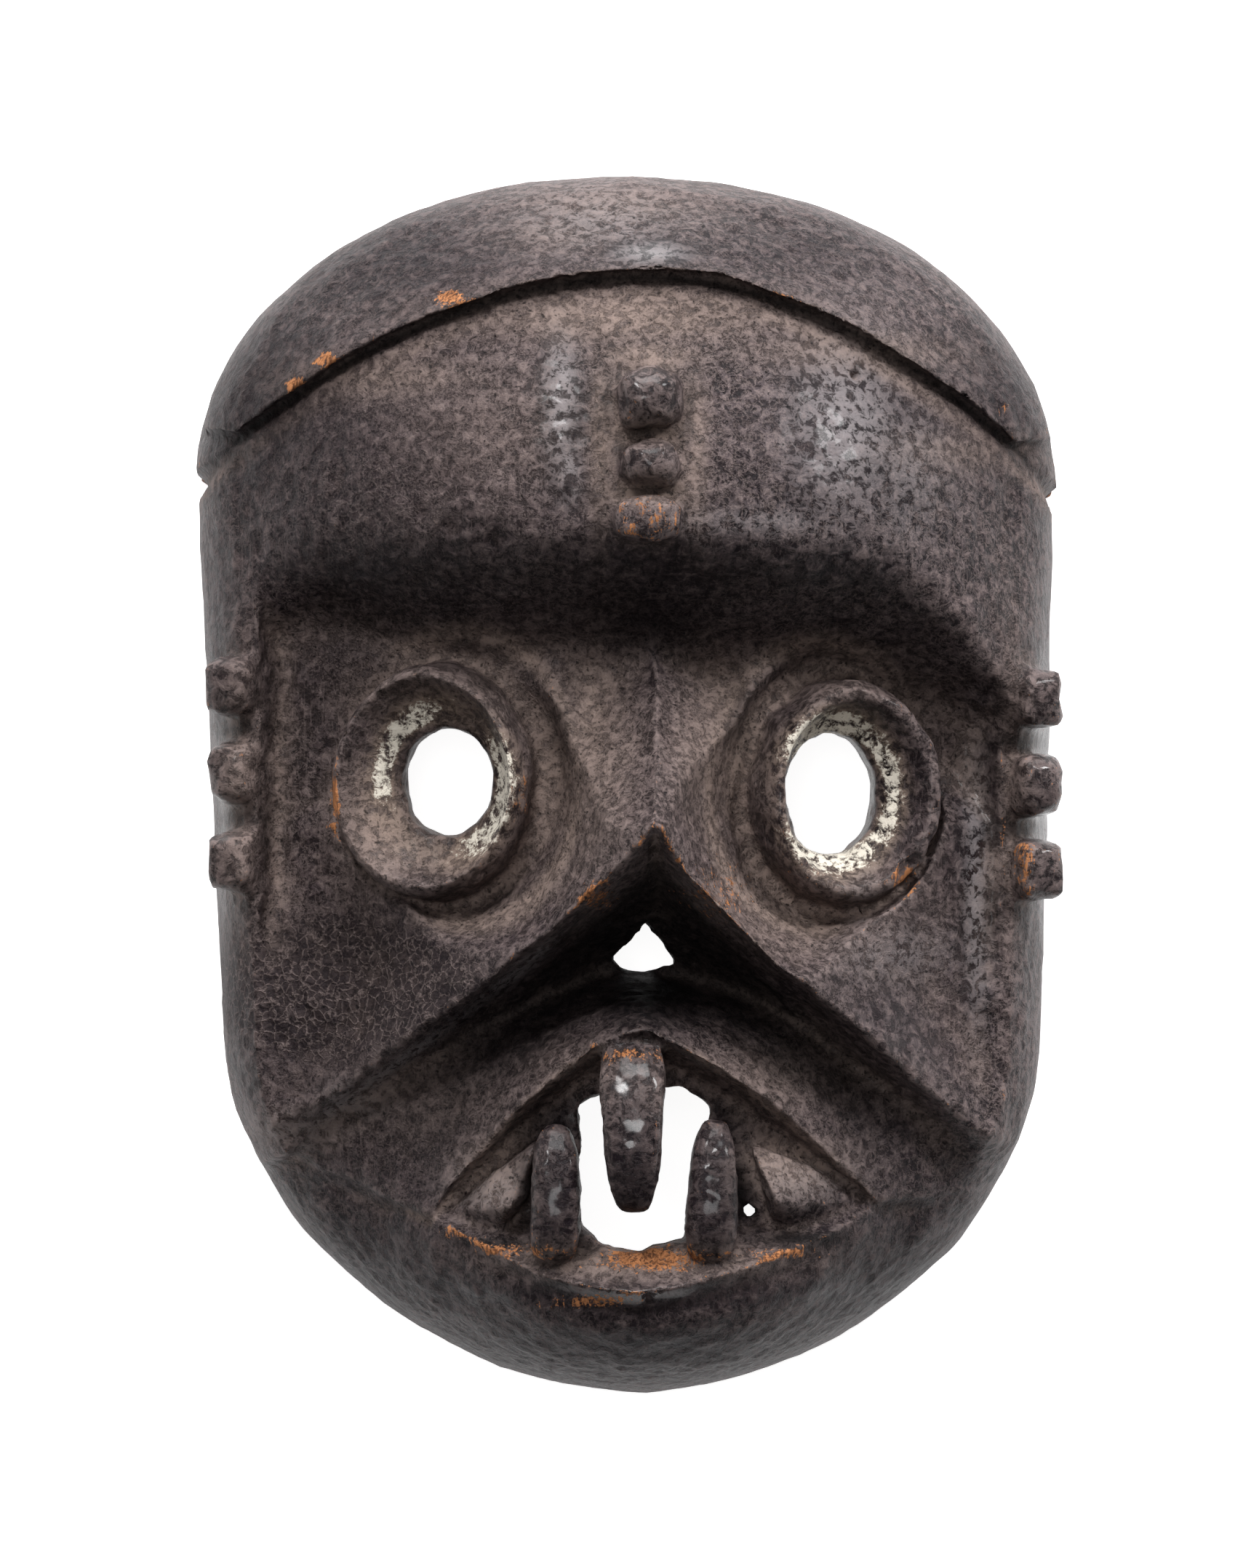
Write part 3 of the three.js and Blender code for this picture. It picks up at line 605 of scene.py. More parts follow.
def hollowCutter():
    columns = np.linspace(-1, 1, hollow["columns"])
    border = rimShare * hollow["shoulder"]
    stations = [
        rowOnBorder(outline["crownY"], 1, 1, columns, border),
        rowAlong(lambda x: np.full_like(x, outline["crownY"]), columns, border),
        rowAlong(lambda x: np.full_like(x, outline["chinY"]), columns, border),
        rowOnBorder(outline["chinY"], 1, -1, columns, border),
    ]
    plan = rowsBetween(list(zip(stations, hollow["bands"] + [0])))
    piece = gridSolid("hollowCutter", len(columns), len(plan), hollow["levels"])
    i, j, k = np.round(vertexPlaces(piece)).astype(int).T
    planX, planY = plan[len(plan) - 1 - j, i].T
    roof = roofHeight(planX, planY)
    level = 1 + k / hollow["levels"]
    onBorder = (i == 0) | (j == 0) | (i == len(columns) - 1) | (j == len(plan) - 1)
    wallX, wallY = atShare(planX, planY, rimShare * lerp(1, hollow["shoulder"], level ** hollow["wallCurve"]))
    placeVertices(piece, np.stack([np.where(onBorder, wallX, planX), np.where(onBorder, wallY, planY),
                                   lerp(-hollow["overcut"], roof, level)], axis=1))
    faceOutwards(piece)
    return piece


def turnedSolid(name, profile):  # a round solid, raised step by step from a circle: (radius, height) pairs
    radius, height = profile[0]
    deselectAll()
    bpy.ops.mesh.primitive_circle_add(vertices=eyeShape["segments"], radius=radius, fill_type="NGON",
                                      location=(0, 0, height))
    piece = bpy.context.object
    piece.name = name
    bpy.ops.object.transform_apply(location=True)
    editMesh("SELECT")
    for nextRadius, nextHeight in profile[1:]:
        extrudeUp(nextHeight - height)
        ratio = nextRadius / radius
        bpy.ops.transform.resize(value=(ratio, ratio, 1))
        radius, height = nextRadius, nextHeight
    leaveEditing()
    faceOutwards(piece)
    return piece


def placeAtEye(piece, eye):  # oval, leaning outward, at the eye's centre
    x, y, z = vertexPlaces(piece).T
    x = x * eye["width"] / eye["length"]
    cos, sin = np.cos(eye["tilt"]), np.sin(eye["tilt"])
    placeVertices(piece, np.stack([x * cos - z * sin + eye["x"], y + eye["y"],
                                   x * sin + z * cos + eye["height"]], axis=1))
    return piece


def unevenRing(piece, reach, seed):  # a hand-cut ring isn't quite round
    places = vertexPlaces(piece)
    places[:, :2] *= 1 + reach * cloudNoise(places, eyeShape["unevenSize"], seed, octaves=2)[:, None]
    placeVertices(piece, places)
    return piece


def lipPiece(eye):
    profile = [(eye["length"] / 2 * share + outside, up) for share, outside, up in eyeShape["lip"]]
    return placeAtEye(unevenRing(turnedSolid("eyeLip", profile), eye["uneven"], 15), eye)


def funnelCutter(eye):
    top, hole = eye["length"] / 2 * eye["crest"], eye["holeLength"] / 2
    profile = [(lerp(hole, top, share) * factor, up) for share, factor, up in eyeShape["funnel"]]
    piece = turnedSolid("funnelCutter", profile)
    x, y, z = vertexPlaces(piece).T
    ragged = cloudNoise(np.stack([x, y, z * 0.3], axis=1), eyeShape["raggedSize"], 11, octaves=2)
    grow = 1 + eyeShape["ragged"] * ragged * (1 - smoothStep(z, 0, eyeShape["raggedTop"]))
    x, y = x * grow, y * grow
    deep = 1 - smoothStep(z, 0, eyeShape["rise"])
    squeeze = (eye["holeWidth"] / eye["holeLength"]) / (eye["width"] / eye["length"])
    x = x * lerp(1, squeeze, deep) + eye["holeShift"] * deep + eye["tilt"] * np.minimum(0, z)
    placeVertices(piece, np.stack([x, y, z], axis=1))
    return placeAtEye(piece, eye)


# Small raised blocks on the forehead and the temples
blocks = {
    "forehead": [(4.4, 85.5, 98, 15.5, 14.5, 19), (4.4, 71.2, 101, 14, 11, 16),
                 (3.9, 58.6, 101.2, 16, 11, 15)],
    "templeLeft": (-88.6, 52.5, [22.2, 2.6, -17.8]), "templeRight": (91.2, 55, [19.4, -0.4, -19.6]),
    "templeSize": (12, 14.5, 20), "templeLean": 0.3,
    "foreheadSquareness": 0.72, "templeSquareness": 0.5, "raggedness": 0.7,
}


def pillowPiece(squareness, segments, rings):  # a ball pulled towards a box: 1 is round, smaller is squarer
    deselectAll()
    bpy.ops.mesh.primitive_uv_sphere_add(segments=segments, ring_count=rings, radius=1)
    piece = bpy.context.object
    places = vertexPlaces(piece)
    placeVertices(piece, np.sign(places) * np.abs(places) ** squareness)
    return piece


def blockShape(squareness, x, y, z, width, length, depth, lean=0.0):  # hand-cut block with rounded edges
    piece = pillowPiece(squareness, 40, 28)
    places = vertexPlaces(piece) * (width / 2, length / 2, depth / 2)
    uneven = np.stack([cloudNoise(places + (x, y, z), 5, seed, octaves=2) for seed in (21, 22, 23)], axis=1)
    places += uneven * blocks["raggedness"]
    cos, sin = np.cos(lean), np.sin(lean)
    turn = np.array([[cos, 0, sin], [0, 1, 0], [-sin, 0, cos]])
    placeVertices(piece, places @ turn.T + (x, y, z))
    return piece


def blockPieces():
    shapes = [blockShape(blocks["foreheadSquareness"], *place) for place in blocks["forehead"]]
    for side, (x, z, rows) in ((-1, blocks["templeLeft"]), (1, blocks["templeRight"])):
        shapes += [blockShape(blocks["templeSquareness"], x, y, z, *blocks["templeSize"],
                              side * blocks["templeLean"]) for y in rows]
    return joinPieces(shapes)


# One tooth hangs from the upper lip, two stand on the lower lip
teeth = {
    "hanging": {"root": (0.6, -56, 88), "tip": (0.8, -95.5, 93), "rootWidth": 18, "tipWidth": 11,
                "depth": 13, "bow": 6},
    "left": {"root": (-16.8, -107, 89), "tip": (-16.2, -75.5, 87), "rootWidth": 13.5, "tipWidth": 10,
             "depth": 12, "bow": 3},
    "right": {"root": (18, -107, 89), "tip": (19, -74.3, 88), "rootWidth": 13.5, "tipWidth": 10,
              "depth": 12, "bow": 3},
    "squareness": 0.6, "tipDepth": 0.75,
}


def toothPiece(tooth):
    piece = pillowPiece(teeth["squareness"], 40, 28)
    places = vertexPlaces(piece)
    t = (places[:, 1] + 1) / 2
    root, tip = np.array(tooth["root"]), np.array(tooth["tip"])
    axis = root + (tip - root) * t[:, None]
    x = axis[:, 0] + places[:, 0] / 2 * lerp(tooth["rootWidth"], tooth["tipWidth"], t)
    z = (axis[:, 2] + tooth["bow"] * np.sin(np.pi * t)
         + places[:, 2] * tooth["depth"] / 2 * lerp(1, teeth["tipDepth"], t))
    placeVertices(piece, np.stack([x, axis[:, 1], z], axis=1))
    return piece


# Wedge-shaped plates in the mouth's corners, and the holes cut straight through
corners = {
    "left": [(-20.5, -79), (-22.5, -92.5), (-28.5, -100.3), (-35, -99.6), (-41.5, -95.8)],
    "right": [(26.8, -80.5), (41, -85.5), (53, -94), (44.5, -98.4), (38, -99.2), (31.5, -97.6)],
    "peakLeft": (-26.5, -94), "peakRight": (33, -93.5),
    "bottom": 60, "edgeDrop": 5, "bulge": 7.5, "rings": 7, "roundness": 0.75, "reachIn": 0.97,
    "ragged": 0.2,
}
holes = {
    "nose": [(3.6, -31.3), (-3.6, -40.6), (3, -42.2), (10.4, -40.6)],
    "mouth": [(-10.8, -72), (-5.6, -69), (6.5, -68.5), (12, -68), (17.5, -73), (14.5, -86), (12, -102),
              (2.5, -104.5), (-6, -103), (-10.8, -99)],
    "corner": [(25.8, -92), (28.6, -96.5), (25.8, -97.5)],
    "rimChip": [(60.2, -18), (70, -14.5), (72, -22), (63, -25.5), (60.8, -22.5)],
    "bottom": 20, "chipBottom": 70.5, "top": 130, "stepAlong": 1.2, "ragged": 0.55,
    "chipRagged": 0.7,
}


def outlinePrism(name, corners, bottom, top, raggedness):  # solid over a closed plan, with an uneven edge
    corners = np.array(corners, float)
    plan = []
    for start, end in zip(corners, np.roll(corners, -1, axis=0)):
        count = max(2, int(np.linalg.norm(end - start) / holes["stepAlong"]))
        plan += [lerp(start, end, step / count) for step in range(count)]
    plan = np.array(plan)
    flat = np.column_stack([plan, np.zeros(len(plan))])
    plan += raggedness * np.stack([cloudNoise(flat, 2.4, seed, octaves=2) for seed in (31, 32)], axis=1)
    deselectAll()
    bpy.ops.mesh.primitive_circle_add(vertices=len(plan), radius=1, fill_type="NGON")
    piece = bpy.context.object
    piece.name = name
    placeVertices(piece, np.column_stack([plan, np.full(len(plan), bottom)]))
    editMesh("SELECT")
    extrudeUp(top - bottom)
    leaveEditing()
    faceOutwards(piece)
    return piece


def cornerPiece(side):  # its top rises in rings from the plan's edge to the wedge's peak
    piece = outlinePrism("cornerPlate", corners[side], 0, 1, corners["ragged"])
    editMesh("DESELECT")
    bpy.ops.mesh.select_mode(type="FACE")
    leaveEditing()
    for face in piece.data.polygons:
        face.select = face.normal.z > 0.5
    bpy.ops.object.mode_set(mode="EDIT")
    for ring in range(corners["rings"]):
        extrudeUp(1)
    leaveEditing()
    x, y, ring = vertexPlaces(piece).T
    peakX, peakY = corners["peak" + side.title()]
    inward = np.maximum(0, ring - 1) / corners["rings"] * corners["reachIn"]
    x, y = lerp(x, peakX, inward), lerp(y, peakY, inward)
    top = upperLipHeight(x) - corners["edgeDrop"] + corners["bulge"] * inward ** corners["roundness"]
    placeVertices(piece, np.stack([x, y, np.where(ring < 0.5, corners["bottom"], top)], axis=1))
    faceOutwards(piece)
    return piece


# Where the surface is worn, dusty, polished, crackled and darker in tone, and where shade, light and sheen
# are painted into its colour
marks = {
    # plan places in mm, radius across and along, strength
    "bareWood": [
        (-40.5, 109, 4.5, 2.2, 0.8), (-68.5, 95.5, 3, 2, 0.75), (-75.5, 90.5, 2.2, 2, 0.75),
        (84, 85, 2, 2, 0.5), (32, 109, 9, 2, 0.35), (20, -24, 14, 12, 0.42), (-7, -25, 6, 5, 0.5),
        (6, -13, 5, 4, 0.35), (0, -60, 9, 2.5, 0.5), (5, -106, 15, 3, 0.76), (-28, -104, 12, 2, 0.55),
        (34, -105, 14, 2, 0.5), (-8, -115, 13, 2.5, 0.62), (-67, -4, 1.6, 8, 0.6), (-24, -2, 2.5, 8, 0.42),
        (4, 58.5, 8, 4.5, 0.34), (-40, -101, 4, 1.6, 0.5), (62, -21, 3, 4, 0.55), (88, -19, 4, 7, 0.4),
        (84, -12, 3, 16, 0.15), (-13, 88, 8, 3, 0.2)],
    # light brown dust in grooves and round the blocks; on the nose's flanks, the left eye's dish and the
    # corner plates these patches are painted light where the faces catch the lamps
    "dustAndPaintedLight": [
        (-5, 105, 36, 6, 1), (-62, 91, 24, 5, 0.9), (50, 97, 24, 4, 0.6), (80, 75, 16, 4, 0.7),
        (4, 95.5, 11, 3, 0.9), (4, 78, 10, 3, 1), (4, 65, 10, 3, 1), (-6.5, 74, 2.5, 18, 0.9),
        (15, 74, 2.5, 18, 0.6), (-11, 6, 12, 22, 0.8), (20, 8, 11, 18, 0.75), (-62, -48, 26, 14, 0.15),
        (30, -66, 26, 8, 0.4), (-88, 0, 5, 34, 0.6), (-14, -64, 14, 8, 0.3), (40, -26, 26, 12, 0.45),
        (86, 0, 4, 34, 0.5), (-56, -9, 10, 14, 1), (-36, -15, 12, 8, 0.7), (-30, -88, 9, 8, 1),
        (36, -86, 13, 6, 1), (30, -84, 6, 5, 1), (4, -106, 34, 4, 1), (-5, 132, 26, 6, 0.4),
        (-18, 124, 14, 5, 0.35), (-50, -70, 24, 10, 0.35), (-75, -78, 12, 5, 0.5), (-44, 19, 22, 8, 0.4),
        (48, 22, 22, 6, 0.3), (-30, 80, 24, 18, 0.25)],
    "polish": [
        (-15, 84, 5.5, 16, 0.5), (-14, 70, 4, 9, 0.45), (48, 79, 15, 24, 0.42), (20, 50, 40, 6, 0.4),
        (4, 86.5, 7, 6, 0.7), (4, 72, 6, 4, 0.6), (78, -20, 5, 30, 0.8), (2, -74, 7, 20, 1),
        (-16.5, -88, 7, 16, 0.65), (18.5, -88, 7, 16, 0.65), (4, -114, 36, 3, 0.9), (5, 119, 9, 3, 1),
        (-43, 0, 26, 28, 0.4), (48, -2, 26, 28, 0.6), (-92, 0, 4, 30, 0.6), (94, 0, 5, 30, 0.8),
        (60, -60, 16, 20, 0.4)],
    # painted sheen: light grey where the forehead's bands, the cap's top, the right eye recess's wall, the
    # corner plates and the chin's sides catch the lamps
    "paintedSheen": [
        (-15.3, 85, 3.4, 14, 1), (-13.5, 70, 2.4, 7, 0.7), (48, 80, 11, 19, 0.85), (62, 70, 10, 16, 0.4),
        (30, 58, 20, 3, 0.4), (78.5, -22, 2.6, 28, 0.8), (-78, -78, 12, 4, 0.5), (-8, 128, 18, 8, 0.5),
        (-70, -112, 10, 5, 0.5), (-31, -90, 8, 6, 0.9), (38, -88, 12, 5, 0.6), (-62, -71, 7, 4, 0.8),
        (52, -20, 3, 12, 0.4), (60, -38, 12, 6, 0.4), (5, 119, 8, 2.5, 0.8)],
    "crackle": [
        (-64, -46, 34, 16, 1), (-44, -42, 14, 6, 0.8), (-60, 62, 24, 18, 0.42), (-60, 84, 26, 12, 0.3),
        (-58, 24, 28, 14, 0.35), (-22, 22, 20, 12, 0.4), (-52, -80, 20, 10, 0.4), (60, -44, 22, 16, 0.3)],
    # darker tone: the teeth's and the left cheek's own dark patina, and painted shade on the cap's sides,
    # under the brow's middle, under the nose's V and on the chin's lower part
    "darkAndShade": [
        (-88, 88, 34, 26, 1), (90, 88, 24, 24, 0.8), (-50, 116, 36, 18, 0.75), (40, 120, 34, 14, 0.5),
        (-40, -52, 26, 9, 0.85), (-66, -46, 34, 17, 0.7), (-62, -112, 48, 22, 0.7),
        (60, -112, 48, 24, 0.8), (0, -127, 60, 13, 0.9), (4, 36, 20, 11, 0.8), (-58, 48, 24, 6, 0.5),
        (-68, -56, 22, 20, 0.7), (-16.5, -90, 9, 22, 1), (18.5, -90, 9, 22, 1), (1, -88, 7, 14, 0.9),
        (-92, 40, 7, 26, 0.6), (83, 0, 2.5, 30, 0.6), (4, 75, 5, 3, 0.5)],
    # painted shade: near-black in the gaps under the corner plates, beside the lower teeth, under the brow's
    # middle, between the blocks on the temples and the forehead, and beside the nose's root
    "shadeAndPitBlack": [
        (38, -101.8, 12, 1.6, 1), (-31, -102.6, 9, 1.3, 0.9), (24.8, -92, 2.2, 6, 0.8),
        (-23.2, -90, 1.6, 9, 0.7), (4, 37, 18, 9, 0.5), (88, 9.5, 8, 1.8, 0.8), (88, -10, 8, 1.8, 0.8),
        (-87, 12.5, 7, 1.8, 0.6), (-87, -7.5, 7, 1.8, 0.6), (4.4, 78.2, 6.5, 1.2, 0.8),
        (4, 64.8, 6.5, 1.1, 0.8), (-5, 85, 1.2, 7, 0.5), (13.5, 85, 1.2, 7, 0.5), (-16, 10, 3, 10, 0.4),
        (25, 14, 3.5, 11, 0.5)],
}


def markShare(name, x, y):
    total = np.zeros(len(x))
    for centreX, centreY, across, along, strength in marks[name]:
        reach = ((x - centreX) / across) ** 2 + ((y - centreY) / along) ** 2
        total = np.maximum(total, strength * np.exp(-reach))
    return total


# Fine relief, worked over the whole surface
relief = {
    "voxel": 0.72, "triangles": 192000, "faceShare": 0.22,
    # size and depth in mm
    "faceScoop": (11, 0.35), "sideScoop": (18, 0.75), "insideScoop": (13, 1.1),
    "swell": (24, 0.4), "ripple": (6, 0.17), "grit": (2.2, 0.2), "pit": (2.5, 0.45), "chip": (3.2, 1.0),
    "rim": (5, 0.3), "polished": 0.6, "scoopBend": 0.2, "edgeRounds": 8, "sharp": 0.5,
    # rounds of averaging that edges and hollows are measured against, and their full depth in mm
    "nearRounds": 4, "farRounds": 60, "edge": 0.35, "recess": 2.5, "crest": 2,
    "sideFrom": (0.93, 0.98), "plainFrom": (0.96, 0.995), "insideDepth": (5, 9),
    "insideBorder": (0.002, 0.014),
    # x, y, radius across, radius along and depth in mm: worm holes, then chips and scars
    "dents": [(51, 92.1, 1.1, 1.1, 3), (4.4, -114.4, 1, 1, 3), (5.9, -15.1, 1.1, 0.9, 2.6),
              (-66, 69.5, 1.6, 5, 0.7), (-64, 72, 1.4, 3, 0.5),
              (70, 62, 1.2, 3.5, 0.6), (86, 66, 1.5, 3, 0.6), (-21, -4, 1.2, 5, 0.8), (58, 30, 5, 1, 0.5),
              (-40, 57, 3, 2, 0.9), (-47, 60, 2, 3, 0.7), (-30, 54, 3, 2, 0.8)],
}


def neighbourEnds(piece):
    ends = edgeEnds(piece)
    counts = np.bincount(ends.ravel(), minlength=len(piece.data.vertices))
    return ends, np.maximum(counts, 1)


def spread(values, ends, counts, rounds):  # averages each vertex with its neighbours, again and again
    for _ in range(rounds):
        columns = values.reshape(len(values), -1)
        total = np.stack([np.bincount(ends[:, 0], column[ends[:, 1]], len(counts))
                          + np.bincount(ends[:, 1], column[ends[:, 0]], len(counts))
                          for column in columns.T], axis=1)
        values = (0.5 * columns + 0.5 * total / counts[:, None]).reshape(values.shape)
    return values


def vertexNormals(piece):
    normals = np.empty(len(piece.data.vertices) * 3, np.float32)
    piece.data.vertex_normals.foreach_get("vector", normals)
    return normals.reshape(-1, 3).astype(float)


def insideShare(x, y, z):  # 1 on the hollow's surface, 0 on the face and on its steep flanks
    around = ((0, 0), (3, 0), (-3, 0), (0, 3), (0, -3))
    lowest = np.min([faceHeight(x + dx, y + dy) for dx, dy in around], axis=0)
    start, end = relief["insideBorder"]
    near = 1 - smoothStep(outlineShare(x, y), rimShare + start, rimShare + end)
    return smoothStep(lowest - z, *relief["insideDepth"]) * near


def sculpt(piece):
    ends, counts = neighbourEnds(piece)
    places, normals = vertexPlaces(piece), vertexNormals(piece)
    x, y, z = places.T
    inside = insideShare(x, y, z)
    onSide = smoothStep(outlineShare(x, y), *relief["sideFrom"]) * (1 - inside)
    onFace = (1 - onSide) * (1 - inside)
    push = np.zeros(len(places))
    for (size, depth), mask, seed in ((relief["faceScoop"], onFace, 41), (relief["sideScoop"], onSide, 45),
                                      (relief["insideScoop"], inside, 49)):
        used = mask > 0.01
        bent = places[used] + cloudNoise(places[used], size, seed)[:, None] * size * relief["scoopBend"]
        nearest, _ = cellNoise(bent, size, seed)
        push[used] -= mask[used] * depth * np.maximum(0, 1 - nearest ** 2)
    size, depth = relief["swell"]
    push += (cloudNoise(places, size, 51) - 0.6) * depth
    size, depth = relief["ripple"]
    push += cloudNoise(places, size, 52, octaves=2) * depth * (0.5 + onFace)
    size, depth = relief["grit"]
    push += cloudNoise(places, size, 54, octaves=2) * depth * (0.4 + onFace) * (1 - inside)
    size, depth = relief["pit"]
    crackled = markShare("crackle", x, y) * onFace
    used = crackled > 0.05
    nearest, second = cellNoise(places[used] * (1, 0.8, 1), size, 55)
    push[used] -= depth * crackled[used] * smoothStep(second - nearest, 0.05, 0.5)
    for dentX, dentY, across, along, depth in relief["dents"]:
        reach = ((x - dentX) / across) ** 2 + ((y - dentY) / along) ** 2
        push -= depth * np.exp(-reach ** 2) * (1 - inside) * smoothStep(normals[:, 2], 0.1, 0.5)
    smooth = spread(places, ends, counts, relief["edgeRounds"])
    edge = np.clip(np.einsum("ij,ij->i", places - smooth, normals) / relief["sharp"], 0, 1)
    size, depth = relief["chip"]
    chip = np.maximum(0, cloudNoise(places, size, 53, octaves=2) - 0.15)
    push -= edge * chip * depth * 2
    push *= smoothStep(z, 0.2, 2.5) * (1 - relief["polished"] * markShare("polish", x, y) * onFace)
    places = places + normals * push[:, None]
    size, depth = relief["rim"]
    onRim = 1 - smoothStep(z, 0.3, 1.5)
    places[:, 2] += onRim * depth * np.abs(cloudNoise(places, size, 56, octaves=3))
    placeVertices(piece, places)


def maskPiece():
    piece = blockPiece()
    print("block:", len(piece.data.vertices), "vertices")
    combine(piece, joinPieces([lipPiece(eye) for eye in eyes]), "UNION")
    combine(piece, joinPieces([cornerPiece(side) for side in ("left", "right")]), "UNION")
    for name in ("nose", "mouth", "corner"):
        combine(piece, outlinePrism("hole", holes[name], holes["bottom"], holes["top"], holes["ragged"]),
                "DIFFERENCE")
    combine(piece, blockPieces(), "UNION")
    combine(piece, joinPieces([toothPiece(teeth[name]) for name in ("hanging", "left", "right")]), "UNION")
    combine(piece, hollowCutter(), "DIFFERENCE")
    combine(piece, joinPieces([funnelCutter(eye) for eye in eyes]), "DIFFERENCE")
    combine(piece, outlinePrism("rimChip", holes["rimChip"], holes["chipBottom"], holes["top"],
                                holes["chipRagged"]), "DIFFERENCE")
    print("carved:", len(piece.data.vertices), "vertices")
    applyModifier(piece, "REMESH", mode="VOXEL", voxel_size=relief["voxel"], adaptivity=0)
    print("remeshed:", len(piece.data.vertices), "vertices")
    applyModifier(piece, "SMOOTH", factor=0.5, iterations=2)
    sculpt(piece)
    triangles = sum(len(face.vertices) - 2 for face in piece.data.polygons)
    # the inside and the sides keep fewer triangles than the face
    x, y, z = vertexPlaces(piece).T
    plain = np.maximum(insideShare(x, y, z), smoothStep(outlineShare(x, y), *relief["plainFrom"]))
    plain *= smoothStep(z, 0.5, 2)
    group = piece.vertex_groups.new(name="plain")
    for step in range(11):
        chosen = np.nonzero(np.round(plain * 10) == step)[0]
        group.add(chosen.tolist(), lerp(relief["faceShare"], 1, step / 10), "REPLACE")
    applyModifier(piece, "DECIMATE", ratio=relief["triangles"] / triangles, vertex_group="plain",
                  vertex_group_factor=1)
    piece.vertex_groups.clear()
    print("thinned:", len(piece.data.polygons), "triangles")
    return piece


mask = maskPiece()
mask.data.polygons.foreach_set("use_smooth", np.ones(len(mask.data.polygons), bool))

# Pigment, painted shade, a painted reflection and dust that follow the carving; a pair is where a fade starts
# and ends
kaolin = {
    "from": (0.46, 0.54), "to": (0.62, 0.84), "least": 0.25, "above": (52, 60),
    "sides": [((-0.75, 0.55), (0.8, -0.25)), ((0.85, 0), (-0.1, 0.9), (0, -0.9))],  # left eye, right eye
}
# where the painted shade under the brow, under the nose's V, under the cap's edge and in the pocket above the
# lip fades in and out
paintedShadeZones = {
    "browFrom": (-5, 3), "browTo": (10, 30), "browSides": (60, 82), "brow": 0.35,
    "foldFrom": (4, 9), "foldTo": (28, 52), "foldLow": (-100, -60), "foldSides": (40, 75), "fold": 0.85,
    "aboveLip": (2, 16), "pocketSides": (14, 40), "pocketLoss": 0.35,
    "underCap": 1.3, "capSides": (88, 96), "cap": 0.9, "pocketWidth": 24, "pocketY": -47, "pocketHeight": 8,
}
# the bevel entries place a painted reflection under the left fold's edge; the cove, lip and moat entries
# place dust, and rimWood places bare wood at the rim
ledges = {
    "bevelBelow": 3.2, "bevelWidth": 1.8, "bevelFrom": (12, 24), "bevelTo": (66, 76),
    "coveBelow": 5.5, "coveWidth": 2.6, "cove": 0.75,
    "lipBelow": 0.6, "lipWidth": 1.2, "lipFrom": (6, 14), "lipTo": (48, 56), "lip": 1.4,
    "moatNear": 0.4, "moatFar": 1.05, "moatWidth": 2.3, "rimHeight": 1.6, "rimWood": 0.44,
}


def kaolinShare(x, y, z):  # white pigment inside the tube eyes
    total = np.zeros(len(x))
    for eye, sides in zip(eyes, kaolin["sides"]):
        dx, dy = (x - eye["x"]) / (eye["width"] / 2), (y - eye["y"]) / (eye["length"] / 2)
        dx -= eye["holeShift"] * 0.6 / (eye["width"] / 2)
        radius = np.hypot(dx, dy)
        ring = smoothStep(radius, *kaolin["from"]) * (1 - smoothStep(radius, *kaolin["to"]))
        facing = [(dx * px + dy * py) / np.maximum(radius, 0.1) / np.hypot(px, py) for px, py in sides]
        facing = np.max(facing, axis=0)
        total = np.maximum(total, ring * lerp(kaolin["least"], 1, smoothStep(facing, 0.2, 0.9)))
    return total * smoothStep(z, *kaolin["above"])


def paintedShadeShare(x, y):  # painted shade: deep black under the brow, under the cap's edge and under the nose's V
    belowBrow, belowFold = browLine(x) - y, foldLine(x) - y
    across = np.abs(x - nose["x"])
    underBrow = smoothStep(belowBrow, *paintedShadeZones["browFrom"]) * (1 - smoothStep(belowBrow, *paintedShadeZones["browTo"]))
    underBrow *= 1 - smoothStep(np.abs(x), *paintedShadeZones["browSides"])
    underFold = 1 - smoothStep(belowFold, *paintedShadeZones["foldTo"]) * smoothStep(y, *paintedShadeZones["foldLow"])
    underFold *= smoothStep(belowFold, *paintedShadeZones["foldFrom"]) * (1 - smoothStep(across, *paintedShadeZones["foldSides"]))
    underFold *= smoothStep(y - upperLipLine(x), *paintedShadeZones["aboveLip"])
    underFold *= 1 - paintedShadeZones["pocketLoss"] * smoothStep(across, *paintedShadeZones["pocketSides"])
    underCap = bell(capEdge(x) - y - paintedShadeZones["underCap"], paintedShadeZones["underCap"])
    underCap *= 1 - smoothStep(np.abs(x), *paintedShadeZones["capSides"])
    pocket = bell(x - nose["x"], paintedShadeZones["pocketWidth"]) * bell(y - paintedShadeZones["pocketY"], paintedShadeZones["pocketHeight"])
    return np.max([paintedShadeZones["brow"] * underBrow, paintedShadeZones["fold"] * underFold, paintedShadeZones["cap"] * underCap, pocket],
                  axis=0)


def foldBevelSheen(x, y):  # painted reflection: a smooth grey bevel under the left fold's edge
    bevel = bell(foldLine(x) - y - ledges["bevelBelow"], ledges["bevelWidth"])
    return bevel * smoothStep(-x, *ledges["bevelFrom"]) * (1 - smoothStep(-x, *ledges["bevelTo"]))


def ledgeDust(x, y):  # dust along the foot of the cap's step and on the inner side of the upper lip's crest
    cove = bell(capEdge(x) - y - ledges["coveBelow"], ledges["coveWidth"])
    across = np.abs(x - mouth["x"])
    lipCrest = bell(upperLipLine(x) - y - ledges["lipBelow"], ledges["lipWidth"])
    lipCrest *= smoothStep(across, *ledges["lipFrom"]) * (1 - smoothStep(across, *ledges["lipTo"]))
    return np.maximum(ledges["cove"] * cove, ledges["lip"] * lipCrest)


